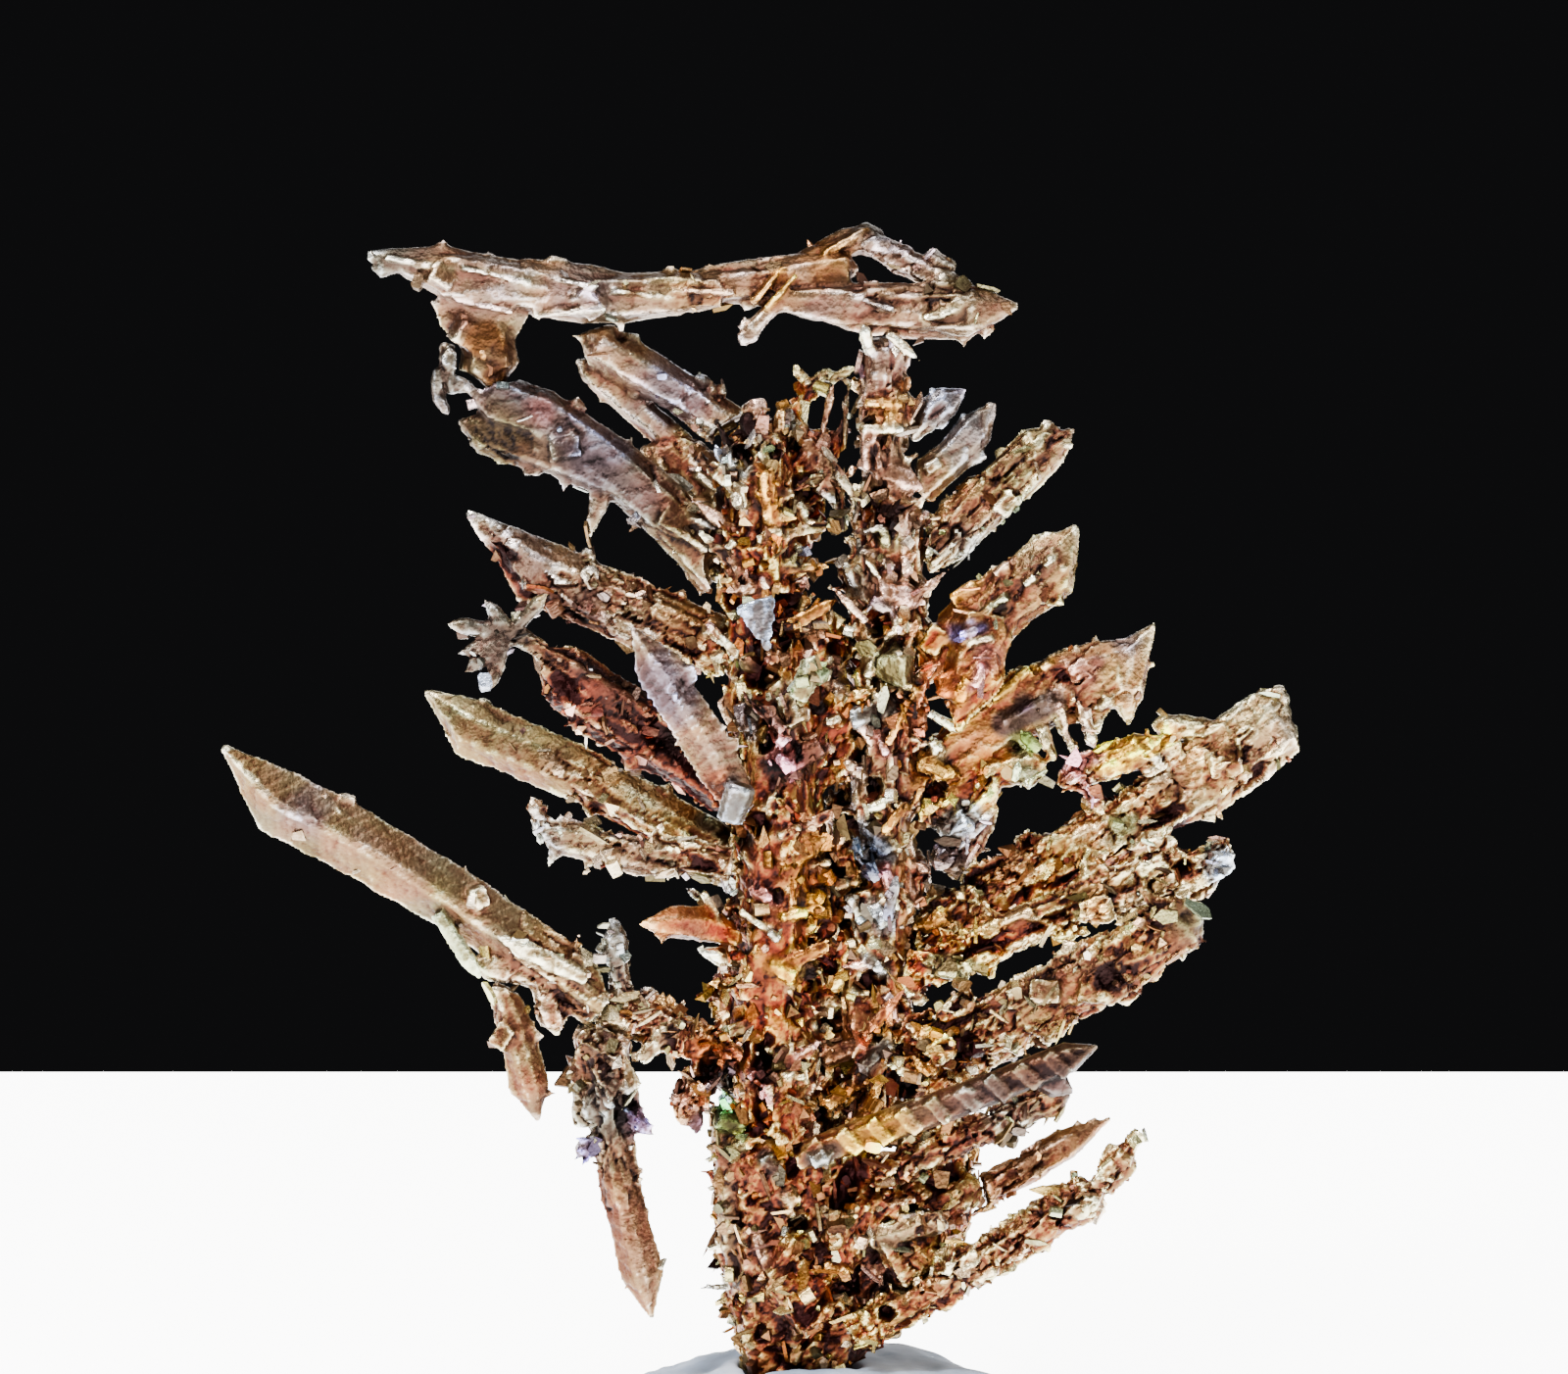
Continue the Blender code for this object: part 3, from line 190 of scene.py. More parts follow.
# Stains of the tarnish on each branch, in millimetres: x and z of the middle, reach, colour, strength
STAINS = {
    "top_bar": [(0.5, 50.4, 1.4, AMBER, 0.6), (-10.3, 48.6, 1.5, ROSE, 0.45), (-17.0, 50.5, 1.8, ASH, 0.6),
                (-4.6, 49.0, 2.2, AMBER, 0.4), (-1.6, 49.5, 1.5, AMBER, 0.55), (2.3, 51.6, 0.9, ASH, 0.6),
                (-9.3, 49.6, 1.8, LILAC, 0.35), (-13.6, 49.8, 2.4, LILAC, 0.3), (5.4, 48.4, 2.2, OLIVE, 0.45),
                (-14.8, 49.8, 2.4, ROSE, 0.3), (3.0, 49.0, 1.2, RUST, 0.4), (4.6, 48.7, 2.8, BRONZE, 0.2),
                (-13.4, 47.2, 1.5, BRONZE, 0.95), (-13.0, 45.7, 1.4, BRONZE, 0.95), (-14.4, 48.1, 0.7, RUST, 0.7)],
    "upper_blade": [(-5.8, 45.1, 2.3, LILAC, 0.65), (-6.6, 42.3, 1.3, ROSE, 0.4),
                    (-7.7, 45.3, 0.9, AMBER, 0.3)],
    "hooked_blade": [(-12.8, 45.4, 1.4, PLUM, 0.7), (-11.2, 45.1, 1.9, STEEL, 0.5), (-10.3, 44.0, 0.6, PLUM, 0.7),
                     (-11.2, 44.4, 0.8, PINK, 0.5), (-8.9, 42.8, 1.9, LILAC, 0.75), (-8.6, 42.4, 2.4, STEEL, 0.3),
                     (-7.1, 40.9, 1.6, STEEL, 0.4), (-13.0, 43.1, 1.9, OLIVE, 0.8), (-11.9, 42.5, 0.9, RUST, 0.4),
                     (-15.1, 45.7, 1.3, ASH, 0.7), (-6.2, 39.5, 1.6, OLIVE, 0.4)],
    "left_spear": [(-12.0, 38.5, 2.0, STEEL, 0.22), (-9.4, 36.0, 1.3, MAROON, 0.75), (-11.5, 38.3, 1.3, PLUM, 0.35),
                   (-5.4, 35.5, 1.6, AMBER, 0.5), (-13.3, 39.5, 1.0, ASH, 0.4)],
    "feather_arm": [(-7.8, 33.1, 1.4, MAROON, 0.7), (-5.4, 31.3, 1.4, MAROON, 0.6),
                    (-9.4, 33.9, 0.7, PLUM, 0.5), (-13.1, 35.3, 2.6, ASH, 0.75)],
    "leaf_blade": [(-6.2, 33.5, 2.2, LILAC, 0.75), (-4.0, 29.3, 1.0, FLAME, 0.7),
                   (-3.3, 28.3, 0.8, STEEL, 0.7)],
    "left_lance": [(-13.4, 31.7, 2.0, OLIVE, 0.4), (-11.0, 29.4, 1.0, RUST, 0.5),
                   (-8.6, 29.0, 1.6, AMBER, 0.3)],
    "thorn_twig": [(-7.4, 26.4, 1.5, MAROON, 0.45), (-11.4, 27.0, 1.5, ASH, 0.6)],
    "lens_crystal": [(-6.0, 23.2, 2.6, ROSE, 0.4), (-5.2, 23.0, 0.8, RUST, 0.6)],
    "left_fork": [(-4.6, 18.5, 1.1, AMBER, 0.55), (-5.8, 16.8, 1.2, MAROON, 0.7),
                  (-8.0, 22.6, 2.2, ASH, 0.75), (-6.7, 19.8, 0.9, ROSE, 0.5),
                  (-4.9, 15.2, 1.0, PLUM, 0.6), (-4.0, 17.3, 0.9, PLUM, 0.9)],
    "great_blade": [(-22.8, 28.0, 1.3, SAGE, 0.45), (-20.6, 28.4, 1.2, LILAC, 0.5),
                    (-22.0, 29.7, 0.9, ROSE, 0.35), (-15.8, 24.0, 1.0, ASH, 0.5),
                    (-17.4, 25.8, 2.0, ROSE, 0.3), (-10.6, 23.0, 1.5, AMBER, 0.3),
                    (-14.6, 22.4, 0.7, SAGE, 0.7), (-20.8, 26.6, 1.1, OLIVE, 0.5),
                    (-18.6, 25.3, 1.2, OLIVE, 0.5), (-16.4, 23.8, 1.2, OLIVE, 0.5)],
    "drop_blade": [(-11.2, 16.0, 1.2, PLUM, 0.4), (-11.6, 18.5, 1.2, OLIVE, 0.3)],
    "hanging_blade": [(-7.9, 10.7, 2.6, ROSE, 0.45), (-8.6, 16.0, 1.8, ASH, 0.7),
                      (-7.2, 15.6, 0.9, VIOLET, 0.7), (-9.8, 13.8, 0.8, VIOLET, 0.7),
                      (-8.4, 14.0, 0.7, CREAM, 0.5)],
    "right_blade_1": [(4.5, 44.5, 2.0, STEEL, 0.6)],
    "right_blade_2": [(5.9, 43.1, 1.7, STEEL, 0.6), (4.4, 41.1, 1.0, ROSE, 0.4)],
    "right_blade_3": [(6.0, 38.5, 1.2, ASH, 0.6), (8.5, 42.7, 1.6, OLIVE, 0.3)],
    "forked_blade": [(5.2, 36.4, 1.1, AMBER, 0.7), (5.6, 35.3, 0.5, VIOLET, 0.8),
                     (6.6, 34.9, 0.7, MAROON, 0.6), (7.4, 36.3, 0.5, SAGE, 0.8),
                     (5.4, 33.5, 1.3, FLAME, 0.55), (7.0, 34.3, 0.8, PINK, 0.5),
                     (9.3, 38.3, 1.4, ASH, 0.4)],
    "jagged_blade": [(5.8, 31.7, 0.9, LEMON, 0.7), (9.9, 34.5, 1.4, AMBER, 0.45),
                     (10.6, 33.3, 1.3, PINK, 0.4), (11.5, 33.8, 0.5, MAROON, 0.8),
                     (9.6, 31.3, 1.3, OLIVE, 0.6), (8.4, 32.1, 0.6, PLUM, 0.7),
                     (8.3, 30.5, 0.7, MOSS, 0.8), (8.4, 29.3, 0.8, SAGE, 0.8),
                     (6.0, 30.5, 0.9, FLAME, 0.6), (12.5, 34.7, 0.9, LILAC, 0.5),
                     (6.0, 27.0, 1.5, STEEL, 0.6)],
    "long_arm": [(12.2, 30.1, 1.2, LEMON, 0.8), (10.3, 29.5, 0.8, PINK, 0.75),
                 (11.0, 28.4, 0.5, PINK, 0.7), (14.0, 30.1, 0.7, ASH, 0.6),
                 (7.8, 25.2, 1.2, FLAME, 0.55), (12.6, 27.0, 1.1, MOSS, 0.55),
                 (14.6, 28.6, 0.9, RUST, 0.5), (18.3, 31.5, 1.3, CREAM, 0.3)],
    "lace_arm_upper": [(16.4, 25.8, 1.1, STEEL, 0.7), (8.2, 23.8, 1.0, RUST, 0.5),
                       (11.4, 24.0, 0.9, AMBER, 0.6)],
    "lace_arm_lower": [(15.2, 23.8, 1.2, SAGE, 0.7), (11.8, 21.3, 1.8, OLIVE, 0.45),
                       (10.6, 23.4, 0.9, FLAME, 0.6), (6.6, 20.9, 1.2, RUST, 0.4),
                       (3.8, 19.7, 1.2, FLAME, 0.8), (4.9, 18.8, 0.9, LEMON, 0.75)],
    "low_blade": [(3.8, 19.7, 1.2, FLAME, 0.8), (2.8, 19.3, 0.6, LEMON, 0.6), (4.9, 18.8, 0.9, LEMON, 0.75)],
    "ribbed_bar": [(2.2, 14.9, 1.9, LEMON, 0.85), (9.9, 16.8, 1.9, STEEL, 0.4), (6.6, 16.3, 2.2, STEEL, 0.4)],
    "bar_below": [(6.2, 14.4, 1.5, MAROON, 0.3), (4.4, 13.4, 1.4, OLIVE, 0.4), (8.2, 15.4, 1.7, ASH, 0.5),
                  (10.4, 16.6, 1.2, LILAC, 0.5)],
    "thin_blade": [(8.0, 12.6, 2.4, RUST, 0.55), (10.8, 14.2, 2.0, ROSE, 0.4)],
    "root_mass": [(-3.6, 14.9, 1.4, OLIVE, 0.7), (-3.9, 15.8, 0.55, EMERALD, 0.8), (-3.3, 14.4, 0.6, LEMON, 0.5),
                  (-3.6, 10.7, 1.4, AMBER, 0.35), (2.6, 7.4, 1.4, RUST, 0.4),
                  (0.6, 11.1, 1.2, MAROON, 0.4)],
    "left_stem": [(-1.4, 30.3, 1.3, MAROON, 0.75), (-2.0, 40.3, 1.9, AMBER, 0.6),
                  (-0.2, 25.0, 2.2, AMBER, 0.85), (0.6, 33.5, 1.1, PLUM, 0.6),
                  (-3.1, 34.0, 0.4, EMERALD, 0.8), (-2.4, 16.8, 1.0, MAROON, 0.6),
                  (-2.2, 43.9, 1.2, ASH, 0.5), (0.5, 45.7, 1.5, OLIVE, 0.75), (1.0, 43.9, 1.3, PLUM, 0.6), (-4.6, 42.3, 1.4, ASH, 0.4),
                  (-1.8, 17.7, 0.8, MOSS, 0.5), (-2.6, 20.9, 1.5, AMBER, 0.4)],
    "right_stem": [(2.6, 46.1, 1.6, LILAC, 0.4), (2.8, 44.1, 0.9, AMBER, 0.7),
                   (2.4, 41.1, 1.5, ROSE, 0.5), (1.8, 37.1, 1.0, PLUM, 0.6),
                   (2.8, 33.9, 1.3, OLIVE, 0.75), (2.2, 26.2, 1.3, SLATE, 0.8),
                   (3.8, 31.9, 1.1, FLAME, 0.75), (1.8, 29.5, 1.0, MAROON, 0.5),
                   (1.0, 18.9, 1.2, FLAME, 0.6), (2.8, 19.1, 0.7, LEMON, 0.6),
                   (2.6, 23.4, 0.9, LILAC, 0.5), (3.6, 36.7, 0.8, PINK, 0.4)],
}

# Crystals that stand out: start, end, width, thickness, pointed share, colour, and how much paler
SHARDS = {
    "left_stem": [
        ((-2.4, -1.2, 40.3), (-5.3, -1.4, 42.9), 0.7, 0.4, 0.4, CREAM, 0),
        ((-2.5, -1.4, 38.7), (-5.4, -1.5, 41.0), 0.6, 0.4, 0.4, ROSE, 0),
        ((-2.4, -1.6, 37.1), (-4.9, -1.8, 39.6), 0.7, 0.4, 0.3, CREAM, 0),
        ((-2.8, -1.0, 41.9), (-4.5, -1.0, 44.3), 0.5, 0.3, 0.4, ASH, 0),
        ((-3.1, -1.0, 43.1), (-3.0, -0.8, 44.7), 0.5, 0.5, 0.2, ASH, 0.05),
        ((-2.4, -1.1, 43.1), (-2.5, -1.0, 44.8), 0.8, 0.6, 0.15, ROSE, 0.05),
        ((-1.7, -0.8, 42.9), (-1.5, -0.6, 44.6), 0.5, 0.5, 0.2, AMBER, 0),
        ((-0.8, -0.2, 42.1), (-1.4, -0.2, 44.9), 0.6, 0.3, 0.3, ASH, -0.1),
        ((-0.1, 0.0, 42.2), (0.6, 0.1, 45.4), 0.4, 0.3, 0.2, ROSE, -0.12),
        ((-1.6, -1.6, 40.8), (0.8, -1.2, 42.0), 0.6, 0.4, 0.4, CREAM, 0),
        ((-1.8, -1.9, 37.9), (0.5, -1.7, 38.1), 0.5, 0.4, 0.3, AMBER, 0.02),
        ((-1.4, -1.8, 39.4), (1.3, -1.3, 39.9), 0.5, 0.3, 0.4, OLIVE, 0),
        ((-2.6, -3.4, 36.9), (-2.0, -3.9, 34.8), 1.9, 0.45, 0.95, STEEL, 0.0),
        ((-0.9, -2.9, 32.8), (0.0, -3.2, 34.7), 1.1, 0.5, 0.25, SAGE, 0.12),
        ((-2.9, -2.2, 34.1), (-4.3, -2.4, 35.7), 0.5, 0.3, 0.5, CREAM, 0),
        ((-3.6, -1.6, 23.5), (-5.6, -2.0, 25.1), 0.4, 0.3, 0.3, ASH, 0),
        ((-2.8, -1.7, 21.7), (-4.9, -2.3, 22.4), 0.8, 0.6, 0.35, CREAM, 0.06),
        ((-3.0, -1.8, 21.0), (-4.5, -2.2, 21.0), 0.6, 0.5, 0.3, AMBER, 0.04),
        ((-1.4, -2.2, 35.6), (1.1, -2.0, 36.9), 0.7, 0.3, 0.4, AMBER, 0),
        ((-1.0, -2.4, 27.3), (1.1, -2.4, 28.4), 0.6, 0.3, 0.4, ROSE, 0),
        ((-1.4, -2.4, 21.8), (0.9, -2.4, 22.9), 0.7, 0.4, 0.4, AMBER, 0.05),
        ((-1.4, -2.8, 31.5), (-3.3, -2.8, 33.3), 0.7, 0.3, 0.5, MAROON, 0),
        ((0.2, -0.4, 42.5), (1.2, -0.4, 39.5), 0.8, 0.5, 0.3, CREAM, 0),
        ((0.1, -0.5, 41.0), (1.9, -0.7, 39.9), 0.4, 0.3, 0.3, ASH, 0),
        ((1.6, -0.6, 42.0), (0.2, -0.5, 41.0), 0.4, 0.3, 0.3, ROSE, 0),
        ((-4.4, 0.1, 17.2), (-2.6, 0.3, 16.1), 1.6, 0.8, 0.2, PLUM, -0.12),
        ((-1.0, 0.6, 15.8), (1.4, 0.6, 14.3), 1.6, 0.8, 0.2, MAROON, -0.12)],
    "right_stem": [
        ((1.8, -0.9, 40.3), (0.4, -0.8, 42.3), 0.5, 0.3, 0.4, CREAM, 0),
        ((3.8, -0.8, 36.6), (5.3, -0.6, 37.8), 0.5, 0.3, 0.4, ROSE, 0),
        ((3.2, -1.0, 32.6), (5.1, -0.9, 34.2), 0.6, 0.4, 0.4, FLAME, 0),
        ((3.4, -1.2, 31.3), (4.5, -1.2, 33.5), 0.45, 0.3, 0.4, FLAME, 0.05),
        ((2.8, -1.2, 30.7), (4.0, -1.4, 33.1), 0.45, 0.3, 0.4, AMBER, 0.05),
        ((2.2, -1.3, 35.5), (0.4, -1.2, 37.3), 0.45, 0.3, 0.4, ROSE, -0.04),
        ((2.6, -1.2, 27.1), (4.4, -1.2, 29.1), 0.6, 0.3, 0.4, AMBER, 0),
        ((2.4, -1.5, 25.1), (1.3, -1.6, 27.1), 0.6, 0.3, 0.4, SLATE, 0),
        ((2.8, -1.5, 23.5), (3.2, -1.7, 25.5), 0.6, 0.3, 0.3, SLATE, 0.05),
        ((1.8, -1.8, 18.6), (3.6, -1.8, 20.8), 0.6, 0.3, 0.4, FLAME, 0),
        ((1.4, -2.0, 15.0), (2.8, -2.2, 17.3), 0.6, 0.3, 0.4, AMBER, 0.04),
        ((2.8, -0.3, 47.4), (4.1, -0.6, 46.3), 0.5, 0.4, 0.3, CREAM, 0.12),
        ((2.0, -0.4, 46.9), (1.8, -0.6, 47.8), 0.6, 0.5, 0.3, CREAM, 0.1),
        ((2.0, 0.6, 17.2), (4.6, 0.6, 15.7), 1.4, 0.7, 0.2, MAROON, -0.1)],
    "jagged_blade": [
        ((4.5, -0.6, 31.9), (6.0, -0.8, 31.1), 0.5, 0.4, 0.3, CREAM, 0.22),
        ((8.6, -0.3, 28.9), (9.4, -0.5, 29.6), 0.5, 0.5, 0.4, SAGE, 0.15),
        ((8.0, -0.3, 29.1), (8.2, -0.6, 30.0), 0.5, 0.5, 0.4, SAGE, 0.1),
        ((9.0, -0.2, 30.3), (8.2, -0.4, 31.2), 0.7, 0.4, 0.3, MOSS, -0.05)],
    "leaf_blade": [
        ((-3.6, -3.4, 27.9), (-3.1, -3.9, 29.5), 1.4, 0.7, 0.12, ASH, 0.04)],
    "great_blade": [
        ((-15.4, -4.2, 24.3), (-13.6, -3.9, 21.4), 0.8, 0.4, 0.3, SAGE, 0.06),
        ((-9.3, -3.9, 21.5), (-13.1, -4.3, 23.4), 0.9, 0.4, 0.3, CREAM, 0)],
    "hanging_blade": [
        ((-9.1, -3.4, 14.6), (-10.0, -3.8, 15.0), 0.3, 0.2, 0.4, VIOLET, 0),
        ((-9.1, -3.4, 14.5), (-10.0, -3.8, 14.3), 0.3, 0.2, 0.4, VIOLET, 0),
        ((-9.1, -3.4, 14.4), (-9.7, -3.8, 13.7), 0.3, 0.2, 0.4, VIOLET, 0)],
    "root_mass": [
        ((-3.75, -1.2, 14.2), (-3.55, -1.2, 8.4), 0.95, 0.7, 0.25, CREAM, -0.1),
        ((-3.7, -1.0, 8.1), (-4.9, -1.6, 8.2), 0.25, 0.25, 0.3, ASH, 0),
        ((-3.7, -1.0, 12.4), (-4.7, -1.6, 12.3), 0.25, 0.25, 0.3, ASH, 0)],
    "left_fork": [
        ((-4.9, -2.4, 16.7), (-5.0, -2.7, 14.7), 0.7, 0.4, 0.3, PLUM, 0),
        ((-5.8, -2.6, 18.7), (-3.5, -2.4, 17.9), 1.1, 0.5, 0.3, FLAME, 0),
        ((-7.3, -3.2, 18.0), (-5.8, -3.2, 19.5), 0.9, 0.4, 0.3, CREAM, 0)],
    "forked_blade": [
        ((5.5, -0.6, 35.0), (6.2, -1.0, 35.7), 0.35, 0.3, 0.3, VIOLET, 0.2)],
}

# Knobs: centre, radius, colour
BEADS = {
    "upper_blade": [((-4.8, 0.3, 45.4), 0.35, ASH)],
    "right_stem": [((3.2, -1.3, 33.8), 1, OLIVE)],
    "lowest_blade": [((12.4, -2.6, 13.9), 0.55, CREAM)],
    "hooked_blade": [((-13.6, -1.4, 46.5), 0.5, AMBER)],
}

